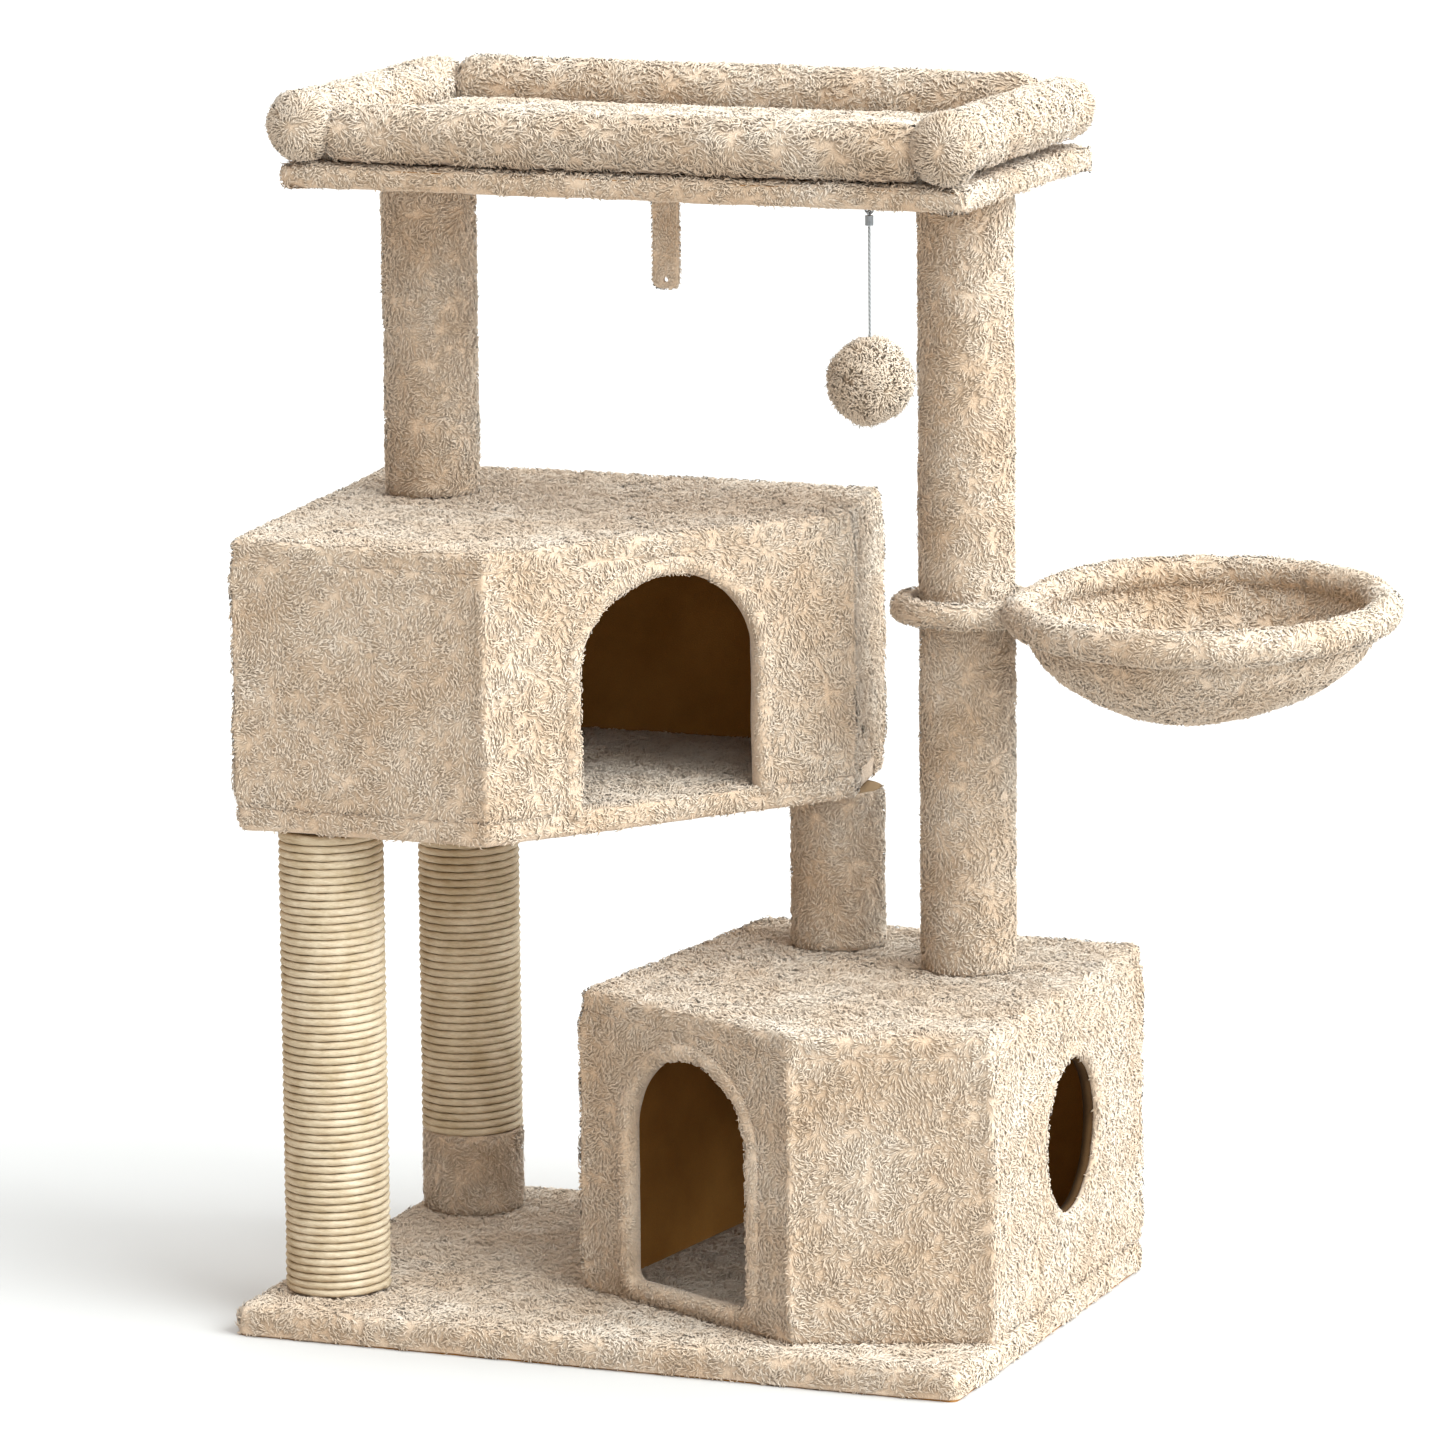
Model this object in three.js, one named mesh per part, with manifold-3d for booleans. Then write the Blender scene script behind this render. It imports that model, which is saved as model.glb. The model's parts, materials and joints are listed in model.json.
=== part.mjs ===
// Cat tree: a base, a lower condo, an upper condo on three posts, a perch on two tall posts,
// a swivelling basket, a hanging pom-pom and a hanging strap.
// Millimetres, +X to the right, +Y to the back, +Z up. The origin is at the centre of the base's underside.
import * as THREE from 'three';
import { mergeVertices } from 'three/addons/utils/BufferGeometryUtils.js';
import Module from 'manifold-3d';

const wasm = await Module();
wasm.setup();

// ---------- driving dimensions ----------
const GAP = 0.3; // clearance between touching pieces
const SKIN = 4; // plush with its backing
const BOARD = 13; // floor, roof and perch boards
const WALL = 9; // condo wall boards
const WRAPPED = 2 * SKIN + 2 * GAP + BOARD; // a board with plush above and below

const BASE = { width: 600, depth: 440, board: 18, skin: 7, corner: 10 };
const BASE_TOP = BASE.board + GAP + BASE.skin;

// condo outlines over the plush, counter-clockwise from above; each name is the wall after that corner
const LOWER = {
  outline: [[297, -133], [297, 219], [-25, 219], [-62, -82], [151, -186]],
  walls: ['right', 'back', 'left', 'door', 'front'],
  wallFoot: BASE_TOP + GAP,
  top: 265,
};
const UPPER_UNDERSIDE = 391;
const UPPER = {
  outline: [[-304, -188], [-91, -190], [105, 83], [83, 210], [-340, 210]],
  walls: ['front', 'door', 'right', 'back', 'left'],
  wallFoot: UPPER_UNDERSIDE + WRAPPED + GAP,
  top: 621.5,
};

// arched doors and the porthole: place along their wall, then heights and sizes of the clear opening
const LOWER_DOOR = { along: 121, bottom: LOWER.wallFoot + 17, width: 129, height: 181, rise: 62 };
const UPPER_DOOR = { along: 167, bottom: UPPER.wallFoot, width: 157, height: 173, rise: 69 };
const PORTHOLE = { along: 181, height: 147, radius: 59 };

const PERCH = { left: -301, right: 263, front: -95, back: 205, underside: 878, corner: 8 };
// lift: height of the side bolsters' axes; overhang: how far they stand out past the board's sides;
// past: how far their tufts reach past its front; setBack: the front bolster's distance from that edge
const BOLSTER = { radius: 24, backRadius: 26, tuft: 26, lift: 26, overhang: 8, past: 15, setBack: 2 };
const PAD = { thickness: 21, clearance: 1, corner: 12 };

const CORE = { radius: 34.5, wall: 3.5, plug: 20 };
const SLEEVE_RADIUS = 37.8;
const ROPE_DIAMETER = 6;
const ROUND = 20; // sides of a post's round pieces
const FOOT_SLEEVE = 65; // height of the plush at the foot of the rear sisal post

const BOLT = { radius: 4, head: 6.5, headHeight: 4.5, washer: 9, washerHeight: 1.5, length: 52 };
const COUNTERBORE = { radius: 12, depth: 7 };

const BASKET = { ring: 140.5, tube: 12.3, wire: 3, height: 555.5, reach: 191.5 };
const BOWL = { radius: 139, depth: 84, cloth: 5 };
const LOOP = { ring: 49.8, tube: 11.2, height: 550.5, mouth: 40 }; // mouth: half angle, towards the ring

const POM = { x: 181, y: -80, radius: 34.5, drop: 128.7, string: 2 };
const SWING_GAP = 0.7; // room for the string's end to tilt under its ferrule
const FERRULE = { radius: 3.2, length: 7.5, drop: 3.2 };
const EYE = { ring: 3.2, wire: 0.9, lift: 1.6, shank: 1.4, shankLength: 9 };
const LINK = { ring: 2.4, wire: 0.7, drop: 1.1 };
const STRAP = { x: -16, y: 0, width: 24, thickness: 7, length: 78, corner: 6, hole: 2.2, holeHeight: 8 };

// post centres and the surfaces that they stand between
const POSTS = {
  perch_left: { x: -245, y: 69, bottom: UPPER.top, top: PERCH.underside, cover: 'plush' },
  perch_right: { x: 197, y: 88, bottom: LOWER.top, top: PERCH.underside, cover: 'plush' },
  condo_right: { x: 69, y: 139, bottom: LOWER.top, top: UPPER_UNDERSIDE, cover: 'plush' },
  condo_front: { x: -244, y: -140, bottom: BASE_TOP, top: UPPER_UNDERSIDE, cover: 'sisal' },
  condo_rear: { x: -249, y: 138, bottom: BASE_TOP, top: UPPER_UNDERSIDE, cover: 'sisal over plush' },
};

// ---------- materials ----------
const look = (color, roughness, metalness = 0) =>
  new THREE.MeshStandardMaterial({ color, roughness, metalness });
const PLUSH = look(0xdcc8a8, 0.95);
const SISAL = look(0xd6c19a, 0.9);
const WOOD = look(0x8a6a44, 0.85);
const CARDBOARD = look(0xa9855a, 0.9);
const STEEL = look(0xb5b7ba, 0.35, 1);
const STRING = look(0xd8d8d6, 0.7);

// ---------- meshes and solids ----------
const group = new THREE.Group();

function add(name, geometry, material) {
  const mesh = new THREE.Mesh(geometry, material);
  mesh.name = name;
  group.add(mesh);
}

function toSolid(geometry) {
  const bare = geometry.clone();
  bare.deleteAttribute('normal');
  bare.deleteAttribute('uv');
  const merged = mergeVertices(bare, 1e-4);
  return new wasm.Manifold(new wasm.Mesh({
    numProp: 3,
    vertProperties: new Float32Array(merged.attributes.position.array),
    triVerts: new Uint32Array(merged.index.array),
  }));
}

function toGeometry(solid) {
  const mesh = solid.getMesh();
  const geometry = new THREE.BufferGeometry();
  geometry.setAttribute('position', new THREE.BufferAttribute(new Float32Array(mesh.vertProperties), 3));
  geometry.setIndex(new THREE.BufferAttribute(new Uint32Array(mesh.triVerts), 1));
  geometry.computeVertexNormals();
  return geometry;
}

function cut(body, ...tools) {
  const solid = tools.reduce((rest, tool) => rest.subtract(toSolid(tool)), toSolid(body));
  return toGeometry(solid);
}

const join = (a, b) => toGeometry(toSolid(a).add(toSolid(b)));

// ---------- shapes ----------
const polygon = (points) => new THREE.Shape(points.map(([x, y]) => new THREE.Vector2(x, y)));

function prism(shape, bottom, top) {
  const options = { depth: top - bottom, bevelEnabled: false, curveSegments: 3 };
  return new THREE.ExtrudeGeometry(shape, options).translate(0, 0, bottom);
}

// an upright cylinder
function rod(radius, bottom, top, x, y, segments = 10) {
  const geometry = new THREE.CylinderGeometry(radius, radius, top - bottom, segments);
  return geometry.rotateX(Math.PI / 2).translate(x, y, (top + bottom) / 2);
}

// a profile of [radius, height] points, from low to high outside, turned about the vertical axis
function turned(profile, segments) {
  const points = profile.map(([radius, height]) => new THREE.Vector2(radius, height));
  return new THREE.LatheGeometry(points, segments).rotateX(Math.PI / 2);
}

function sleeve(inner, outer, bottom, top) {
  return turned([[inner, bottom], [outer, bottom], [outer, top], [inner, top], [inner, bottom]], ROUND);
}

function roundedBox(left, right, front, back, corner) {
  const shape = new THREE.Shape();
  shape.absarc(right - corner, front + corner, corner, -Math.PI / 2, 0);
  shape.absarc(right - corner, back - corner, corner, 0, Math.PI / 2);
  shape.absarc(left + corner, back - corner, corner, Math.PI / 2, Math.PI);
  shape.absarc(left + corner, front + corner, corner, Math.PI, Math.PI * 1.5);
  return shape;
}

// an outline moved inwards by a distance, corner by corner
function inset(outline, distance) {
  const count = outline.length;
  const inwards = (i) => {
    const [ax, ay] = outline[i % count];
    const [bx, by] = outline[(i + 1) % count];
    const length = Math.hypot(bx - ax, by - ay);
    return [-(by - ay) / length, (bx - ax) / length];
  };
  return outline.map(([x, y], i) => {
    const [px, py] = inwards(i + count - 1);
    const [nx, ny] = inwards(i);
    const share = distance / (1 + px * nx + py * ny);
    return [x + share * (px + nx), y + share * (py + ny)];
  });
}

// a shape drawn on a wall (distance from corner a towards b, height), pushed in from one depth to another
function throughWall([ax, ay], [bx, by], shape, from, to) {
  const options = { depth: to - from, bevelEnabled: false, curveSegments: 10 };
  const geometry = new THREE.ExtrudeGeometry(shape, options).translate(0, 0, -to);
  return geometry.rotateX(Math.PI / 2).rotateZ(Math.atan2(by - ay, bx - ax)).translate(ax, ay, 0);
}

// an arched opening, larger all round by grow, and carried down below its sill
function arch(door, grow, below) {
  const half = door.width / 2 + grow;
  const spring = door.bottom + door.height - door.rise;
  const shape = new THREE.Shape();
  shape.moveTo(door.along - half, door.bottom - below);
  shape.lineTo(door.along + half, door.bottom - below);
  shape.lineTo(door.along + half, spring);
  shape.absellipse(door.along, spring, half, door.rise + grow, 0, Math.PI, false, 0);
  return shape;
}

function circle(x, y, radius) {
  const shape = new THREE.Shape();
  shape.absarc(x, y, radius, 0, Math.PI * 2);
  return shape;
}

// ---------- condos ----------
const HEM = SKIN; // plush folded through an opening, over the board's cut edge
const CLEAR = 60; // how far a cutting tool reaches past a wall

// an opening gives its outline for the clear hole, for the hem round it and for the hole in the board
const OPENINGS = {
  lower_door: {
    hole: arch(LOWER_DOOR, 0, 0),
    hem: arch(LOWER_DOOR, HEM, HEM),
    board: arch(LOWER_DOOR, HEM + GAP, HEM + GAP),
  },
  upper_door: {
    hole: arch(UPPER_DOOR, 0, CLEAR),
    hem: arch(UPPER_DOOR, HEM, 0),
    board: arch(UPPER_DOOR, HEM + GAP, CLEAR),
  },
  lower_right: {
    hole: circle(PORTHOLE.along, PORTHOLE.height, PORTHOLE.radius),
    hem: circle(PORTHOLE.along, PORTHOLE.height, PORTHOLE.radius + HEM),
    board: circle(PORTHOLE.along, PORTHOLE.height, PORTHOLE.radius + HEM + GAP),
  },
};

const roofFoot = (plan) => plan.top - SKIN - BOARD - GAP;

function wallBoard(plan, i, opening) {
  const j = (i + 1) % plan.outline.length;
  const [a, b] = [plan.outline[i], plan.outline[j]];
  const outer = inset(plan.outline, SKIN + GAP);
  const inner = inset(plan.outline, SKIN + GAP + WALL);
  const angle = Math.atan2(b[1] - a[1], b[0] - a[0]);
  const slip = ([x, y], way) => [x + Math.cos(angle) * way, y + Math.sin(angle) * way];
  const corners = [slip(outer[i], GAP), slip(outer[j], -GAP), slip(inner[j], -GAP), slip(inner[i], GAP)];
  const board = prism(polygon(corners), plan.wallFoot, roofFoot(plan) - GAP);
  return opening ? cut(board, throughWall(a, b, opening.board, -CLEAR, CLEAR)) : board;
}

function walls(prefix, plan) {
  const { outline, wallFoot } = plan;
  const top = roofFoot(plan) - GAP;
  let skin = toSolid(prism(polygon(outline), wallFoot, top));
  skin = skin.subtract(toSolid(prism(polygon(inset(outline, SKIN)), wallFoot - 1, top + 1)));
  plan.walls.forEach((wall, i) => {
    const opening = OPENINGS[`${prefix}_${wall}`];
    add(`${prefix}_wall_${wall}`, wallBoard(plan, i, opening), WOOD);
    if (!opening) return;
    const [a, b] = [outline[i], outline[(i + 1) % outline.length]];
    skin = skin.add(toSolid(throughWall(a, b, opening.hem, 0, SKIN + GAP + WALL)));
    skin = skin.subtract(toSolid(throughWall(a, b, opening.hole, -CLEAR, CLEAR)));
  });
  add(`${prefix}_walls_plush_cover`, toGeometry(skin), PLUSH);
}

const boltHoles = (posts, bottom, top) =>
  posts.map((name) => rod(BOLT.radius + GAP, bottom - 1, top + 1, POSTS[name].x, POSTS[name].y));

// a roof board under a plush cap that turns down over the board's edge
function roof(prefix, plan, posts) {
  const foot = roofFoot(plan);
  const holes = boltHoles(posts, foot, plan.top);
  const board = prism(polygon(inset(plan.outline, SKIN + GAP)), foot, foot + BOARD);
  const pocket = prism(polygon(inset(plan.outline, SKIN)), foot - 1, foot + BOARD + GAP);
  add(`${prefix}_roof_board`, cut(board, ...holes), WOOD);
  const cap = prism(polygon(plan.outline), foot, plan.top);
  add(`${prefix}_roof_plush_cover`, cut(cap, pocket, ...holes), PLUSH);
  posts.forEach((name) => bolt(`${name}_post_bottom_bolt`, name, foot, 1));
}

// a board wrapped all round in plush; shrunk(distance) is its outline moved inwards by that distance
function wrappedBoard(prefix, shrunk, underside, posts, drillings = []) {
  const boardTop = underside + SKIN + GAP + BOARD;
  const top = underside + WRAPPED;
  const seat = boardTop - COUNTERBORE.depth;
  const holes = boltHoles(posts, underside, top).concat(drillings);
  const sinks = posts.map((name) => rod(COUNTERBORE.radius, seat, top + 1, POSTS[name].x, POSTS[name].y));
  const board = prism(shrunk(SKIN + GAP), underside + SKIN + GAP, boardTop);
  const hollow = prism(shrunk(SKIN), underside + SKIN, boardTop + GAP);
  add(`${prefix}_board`, cut(board, ...holes, ...sinks), WOOD);
  add(`${prefix}_plush_cover`, cut(prism(shrunk(0), underside, top), hollow, ...holes, ...sinks), PLUSH);
  posts.forEach((name) => bolt(`${name}_post_top_bolt`, name, seat, -1));
}

// ---------- posts and their bolts ----------
function post(name, { x, y, bottom, top, cover }) {
  const low = bottom + GAP;
  const high = top - GAP;
  const bore = BOLT.radius + GAP;
  const hollow = CORE.radius - CORE.wall;
  const core = [
    [bore, low], [CORE.radius, low], [CORE.radius, high], [bore, high],
    [bore, high - CORE.plug], [hollow, high - CORE.plug],
    [hollow, low + CORE.plug], [bore, low + CORE.plug], [bore, low],
  ];
  add(`${name}_post_core`, turned(core, ROUND).translate(x, y, 0), CARDBOARD);
  const inner = CORE.radius + 2 * GAP;
  const place = (part, outer, from, to, material) =>
    add(`${name}_post_${part}`, sleeve(inner, outer, from, to).translate(x, y, 0), material);
  if (cover === 'plush') {
    place('plush_sleeve', SLEEVE_RADIUS, low, high, PLUSH);
    return;
  }
  const foot = cover === 'sisal' ? 0 : FOOT_SLEEVE;
  if (foot) place('foot_sleeve', SLEEVE_RADIUS, low, low + foot - GAP, PLUSH);
  place('sisal_wrap', inner + ROPE_DIAMETER, low + foot, high, SISAL);
}

// a headed bolt with its washer against a seat; way is 1 for a shank that points up, -1 for down
function bolt(name, postName, seat, way) {
  const { radius, head, headHeight, washer, washerHeight, length } = BOLT;
  const under = -GAP - washerHeight;
  const profile = [
    [0, under - headHeight], [head, under - headHeight], [head, under],
    [washer, under], [washer, -GAP], [radius, -GAP], [radius, length], [0, length],
  ];
  const geometry = turned(profile, 8);
  if (way < 0) geometry.rotateX(Math.PI);
  add(name, geometry.translate(POSTS[postName].x, POSTS[postName].y, seat), STEEL);
}

// ---------- base ----------
function base(posts) {
  const { width, depth, board, corner } = BASE;
  const shrunk = (edge) =>
    roundedBox(edge - width / 2, width / 2 - edge, edge - depth / 2, depth / 2 - edge, corner - edge);
  const holes = boltHoles(posts, 0, BASE_TOP);
  const sinks = posts.map((name) =>
    rod(COUNTERBORE.radius, -1, COUNTERBORE.depth, POSTS[name].x, POSTS[name].y));
  const pocket = prism(shrunk(SKIN), -1, board + GAP);
  const skirt = 1; // the plush stops just above the floor
  add('base_board', cut(prism(shrunk(SKIN + GAP), 0, board), ...holes, ...sinks), WOOD);
  add('base_plush_cover', cut(prism(shrunk(0), skirt, BASE_TOP), pocket, ...holes), PLUSH);
  posts.forEach((name) => bolt(`${name}_post_bottom_bolt`, name, COUNTERBORE.depth, 1));
}

// ---------- perch ----------
// a bolster along an axis from 0 to its length, with an optional larger tuft at its far end
function bolster(radius, length, tuft = 0) {
  const soft = radius * 0.3;
  const profile = [[0, 0], [radius - soft, 0], [radius, soft]];
  if (tuft) {
    const centre = length - tuft;
    profile.push([radius, centre - tuft]);
    for (let i = 0; i <= 4; i++) {
      const angle = -Math.PI / 9 + (i / 4) * (Math.PI / 2 + Math.PI / 9);
      profile.push([tuft * Math.cos(angle), centre + tuft * Math.sin(angle)]);
    }
    profile[profile.length - 1][0] = 0;
  } else {
    profile.push([radius, length - soft], [radius - soft, length], [0, length]);
  }
  return turned(profile, 16);
}

function perch() {
  const { left, right, front, back, underside, corner } = PERCH;
  const { radius, backRadius, tuft, lift, overhang, past, setBack } = BOLSTER;
  const shrunk = (edge) => roundedBox(left + edge, right - edge, front + edge, back - edge, corner - edge);
  const eyeTop = underside + EYE.lift + EYE.ring + EYE.wire + GAP;
  const eyeSeat = rod(EYE.ring + EYE.wire + GAP, underside - 1, eyeTop, POM.x, POM.y, 12);
  const pilot = rod(EYE.shank + GAP, eyeTop - 1, eyeTop + EYE.shankLength, POM.x, POM.y, 8);
  wrappedBoard('perch', shrunk, underside, ['perch_left', 'perch_right'], [eyeSeat, pilot]);
  const floor = underside + WRAPPED + GAP;

  const sideLength = back - front + past;
  const leftAxis = left - overhang + radius;
  const rightAxis = right + overhang - radius;
  for (const [name, x] of [['left', leftAxis], ['right', rightAxis]]) {
    const roll = bolster(radius, sideLength, tuft).rotateX(Math.PI / 2);
    add(`perch_bolster_${name}`, roll.translate(x, back, floor + lift), PLUSH);
  }
  const innerLeft = leftAxis + tuft + GAP;
  const innerRight = rightAxis - tuft - GAP;
  const across = innerRight - innerLeft;
  const frontAxis = front + radius + setBack;
  const backAxis = back - backRadius;
  for (const [name, size, y] of [['front', radius, frontAxis], ['back', backRadius, backAxis]]) {
    const roll = bolster(size, across).rotateY(Math.PI / 2);
    add(`perch_bolster_${name}`, roll.translate(innerLeft, y, floor + size), PLUSH);
  }
  const padFront = frontAxis + radius + PAD.clearance;
  const padBack = backAxis - backRadius - PAD.clearance;
  const pad = roundedBox(innerLeft, innerRight, padFront, padBack, PAD.corner);
  add('perch_pad', prism(pad, floor, floor + PAD.thickness), PLUSH);
}

// ---------- basket ----------
// a ring of round section, lying level
function level(ring, tube, x, y, height, around, section) {
  return new THREE.TorusGeometry(ring, tube, section, around).translate(x, y, height);
}

function basket() {
  const { x, y } = POSTS.perch_right;
  const centre = x + BASKET.reach;
  const hoop = (tube, section) => level(BASKET.ring, tube, centre, y, BASKET.height, 28, section);
  const collar = (tube, section) => level(LOOP.ring, tube, x, y, LOOP.height, 20, section);
  const wires = [hoop(BASKET.wire + GAP, 5), collar(BASKET.wire + GAP, 5)];
  add('basket_wire_frame', join(hoop(BASKET.wire, 5), collar(BASKET.wire, 5)), STEEL);
  add('basket_ring_plush_cover', cut(hoop(BASKET.tube, 8), ...wires), PLUSH);

  const mouth = Math.tan(THREE.MathUtils.degToRad(LOOP.mouth)) * CLEAR * 2;
  const wedge = polygon([[x, y], [x + CLEAR * 2, y - mouth], [x + CLEAR * 2, y + mouth]]);
  const gate = prism(wedge, LOOP.height - CLEAR, LOOP.height + CLEAR);
  const loop = cut(collar(LOOP.tube, 8), gate, hoop(BASKET.tube + 3 * GAP, 8), wires[1]);
  add('basket_loop_plush_cover', loop, PLUSH);

  const profile = [];
  const steps = 6;
  for (let i = 0; i <= steps; i++) {
    const angle = (i / steps) * (Math.PI / 2);
    profile.push([BOWL.radius * Math.sin(angle), -BOWL.depth * Math.cos(angle)]);
  }
  for (let i = steps; i >= 0; i--) {
    const angle = (i / steps) * (Math.PI / 2);
    const [across, down] = [BOWL.radius - BOWL.cloth, BOWL.depth - BOWL.cloth];
    profile.push([across * Math.sin(angle), -down * Math.cos(angle)]);
  }
  const bowl = turned(profile, 28).translate(centre, y, BASKET.height);
  add('basket_bowl', cut(bowl, hoop(BASKET.tube + 3 * GAP, 8)), PLUSH);
}

// ---------- hanging toys ----------
function pomPom() {
  const { x, y, radius, drop, string } = POM;
  const under = PERCH.underside;
  const eyeHeight = under + EYE.lift;
  const eye = new THREE.TorusGeometry(EYE.ring, EYE.wire, 6, 12).rotateX(Math.PI / 2);
  const shankFoot = eyeHeight + EYE.ring;
  const shank = rod(EYE.shank, shankFoot, shankFoot + EYE.shankLength, x, y, 8);
  add('pom_pom_screw_eye', join(eye.translate(x, y, eyeHeight), shank), STEEL);

  const bodyTop = under - FERRULE.drop;
  const link = new THREE.TorusGeometry(LINK.ring, LINK.wire, 6, 12).rotateY(Math.PI / 2);
  const crimp = rod(FERRULE.radius, bodyTop - FERRULE.length, bodyTop, x, y, 10);
  add('pom_pom_ferrule', join(link.translate(x, y, under - LINK.drop), crimp), STEEL);

  const centre = under - drop;
  const stringTop = bodyTop - FERRULE.length - SWING_GAP;
  const route = new THREE.LineCurve3(
    new THREE.Vector3(x, y, centre + radius + GAP),
    new THREE.Vector3(x, y, stringTop),
  );
  const options = { steps: 4, bevelEnabled: false, extrudePath: route, curveSegments: 4 };
  add('pom_pom_string', new THREE.ExtrudeGeometry(circle(0, 0, string / 2), options), STRING);
  const ball = new THREE.SphereGeometry(radius, 14, 10).rotateX(Math.PI / 2).translate(x, y, centre);
  add('pom_pom_ball', ball, PLUSH);
}

function strap() {
  const { x, y, width, thickness, length, corner, hole, holeHeight } = STRAP;
  const pivot = PERCH.underside - GAP - thickness / 2;
  const bottom = PERCH.underside - length;
  const half = width / 2;
  const shape = new THREE.Shape();
  shape.moveTo(x + half, pivot);
  shape.lineTo(x - half, pivot);
  shape.absarc(x - half + corner, bottom + corner, corner, Math.PI, Math.PI * 1.5);
  shape.absarc(x + half - corner, bottom + corner, corner, Math.PI * 1.5, Math.PI * 2);
  const eyelet = new THREE.Path();
  eyelet.absarc(x, bottom + holeHeight, hole, 0, Math.PI * 2);
  shape.holes.push(eyelet);
  const options = { depth: thickness, bevelEnabled: false, curveSegments: 4 };
  const blade = new THREE.ExtrudeGeometry(shape, options).rotateX(Math.PI / 2);
  const roll = new THREE.CylinderGeometry(thickness / 2, thickness / 2, width, 12).rotateZ(Math.PI / 2);
  const hung = join(blade.translate(0, y + thickness / 2, 0), roll.translate(x, y, pivot));
  add('hanging_strap', hung, PLUSH);
}

// ---------- assembly ----------
base(['condo_front', 'condo_rear']);
walls('lower', LOWER);
roof('lower', LOWER, ['perch_right', 'condo_right']);
const upperFloor = (edge) => polygon(inset(UPPER.outline, edge));
wrappedBoard('upper_floor', upperFloor, UPPER_UNDERSIDE, ['condo_front', 'condo_rear', 'condo_right']);
walls('upper', UPPER);
roof('upper', UPPER, ['perch_left']);
for (const [name, place] of Object.entries(POSTS)) post(name, place);
perch();
basket();
pomPom();
strap();

export default group;
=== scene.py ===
"""A plush cat tree: a base, two condos, a perch with bolsters, a basket, a pom-pom and a strap.

Everything is in metres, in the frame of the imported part: +X right, +Y back, +Z up.
"""

import json
import math
from itertools import product

import bpy
import numpy as np
from mathutils import Matrix, Vector, geometry
from mathutils.bvhtree import BVHTree

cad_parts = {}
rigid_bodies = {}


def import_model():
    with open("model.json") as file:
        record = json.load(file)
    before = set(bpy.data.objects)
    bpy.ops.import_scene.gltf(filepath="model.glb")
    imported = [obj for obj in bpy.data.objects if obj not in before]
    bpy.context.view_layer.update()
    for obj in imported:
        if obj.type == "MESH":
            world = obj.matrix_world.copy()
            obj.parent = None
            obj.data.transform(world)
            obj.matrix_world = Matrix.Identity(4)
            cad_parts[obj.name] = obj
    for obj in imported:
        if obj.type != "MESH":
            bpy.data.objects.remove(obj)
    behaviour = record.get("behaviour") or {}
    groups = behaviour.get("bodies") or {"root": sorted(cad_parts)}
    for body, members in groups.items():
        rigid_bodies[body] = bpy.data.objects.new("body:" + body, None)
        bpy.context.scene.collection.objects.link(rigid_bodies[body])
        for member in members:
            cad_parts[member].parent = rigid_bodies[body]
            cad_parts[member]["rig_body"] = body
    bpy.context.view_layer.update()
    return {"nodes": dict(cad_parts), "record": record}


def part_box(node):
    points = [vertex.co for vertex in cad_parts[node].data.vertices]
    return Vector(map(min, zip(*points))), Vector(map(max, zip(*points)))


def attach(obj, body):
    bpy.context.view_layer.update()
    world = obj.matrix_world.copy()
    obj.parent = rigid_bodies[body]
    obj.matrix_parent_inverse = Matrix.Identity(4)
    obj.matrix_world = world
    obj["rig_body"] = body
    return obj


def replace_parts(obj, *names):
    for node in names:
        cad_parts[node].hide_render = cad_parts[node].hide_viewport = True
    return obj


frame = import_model()

MM = 0.001
UP = np.array([0.0, 0.0, 1.0])

# ---------- sizes shared with the part ----------
PILE = 2.2 * MM  # how far the skin under the pile lies inside the part's surface
BACKING = 4.3 * MM  # how far the boards lie inside the part's surface
WALL_DEPTH = 13.6 * MM  # from a condo's surface to the inside of its wall boards
LOWER_DOOR = {"wall": 3, "along": 121 * MM, "bottom": 42.6 * MM, "width": 129 * MM, "height": 181 * MM,
              "rise": 62 * MM, "sill": True}
UPPER_DOOR = {"wall": 1, "along": 167 * MM, "bottom": 412.9 * MM, "width": 157 * MM, "height": 173 * MM,
              "rise": 69 * MM, "sill": False}
PORTHOLE = {"wall": 0, "along": 181 * MM, "height": 147 * MM, "radius": 59 * MM}
ROPE = {"radius": 3 * MM, "pitch": 6 * MM}
BASKET_POST = (0.197, 0.088)
LOOP_MOUTH = math.radians(36)
BOWL_DEPTH = 84 * MM
POM_RADIUS = 34.5 * MM
STRAP_HOLE = {"radius": 2.2 * MM, "height": 8 * MM}


# ---------- small maths ----------
def hashed(cells, seed):
    """A steady number from 0 to 1 for each row of whole numbers."""
    h = cells[:, 0] * 73856093 ^ cells[:, 1] * 19349663 ^ cells[:, 2] * 83492791 ^ seed * 2654435761
    h = h & 0xFFFFFFFF
    h = (h ^ h >> 15) * 2246822519 & 0xFFFFFFFF
    h = (h ^ h >> 13) * 3266489917 & 0xFFFFFFFF
    return (h >> 8) / 0xFFFFFF


def lumps(points, size, seed):
    """Smooth noise from -1 to 1 at each point, in lumps about size across."""
    scaled = points / size + 1000
    cell = np.floor(scaled).astype(np.int64)
    part = scaled - cell
    part = part * part * (3 - 2 * part)
    total = np.zeros(len(points))
    for corner in product((0, 1), repeat=3):
        weight = np.prod(np.where(corner, part, 1 - part), axis=1)
        total += weight * hashed(cell + corner, seed)
    return 2 * total - 1


def unit(vectors):
    return vectors / np.maximum(np.linalg.norm(vectors, axis=-1, keepdims=True), 1e-12)


def lies(a, b, count):
    """count values from a to b, both included."""
    return np.linspace(a, b, count)


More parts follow.
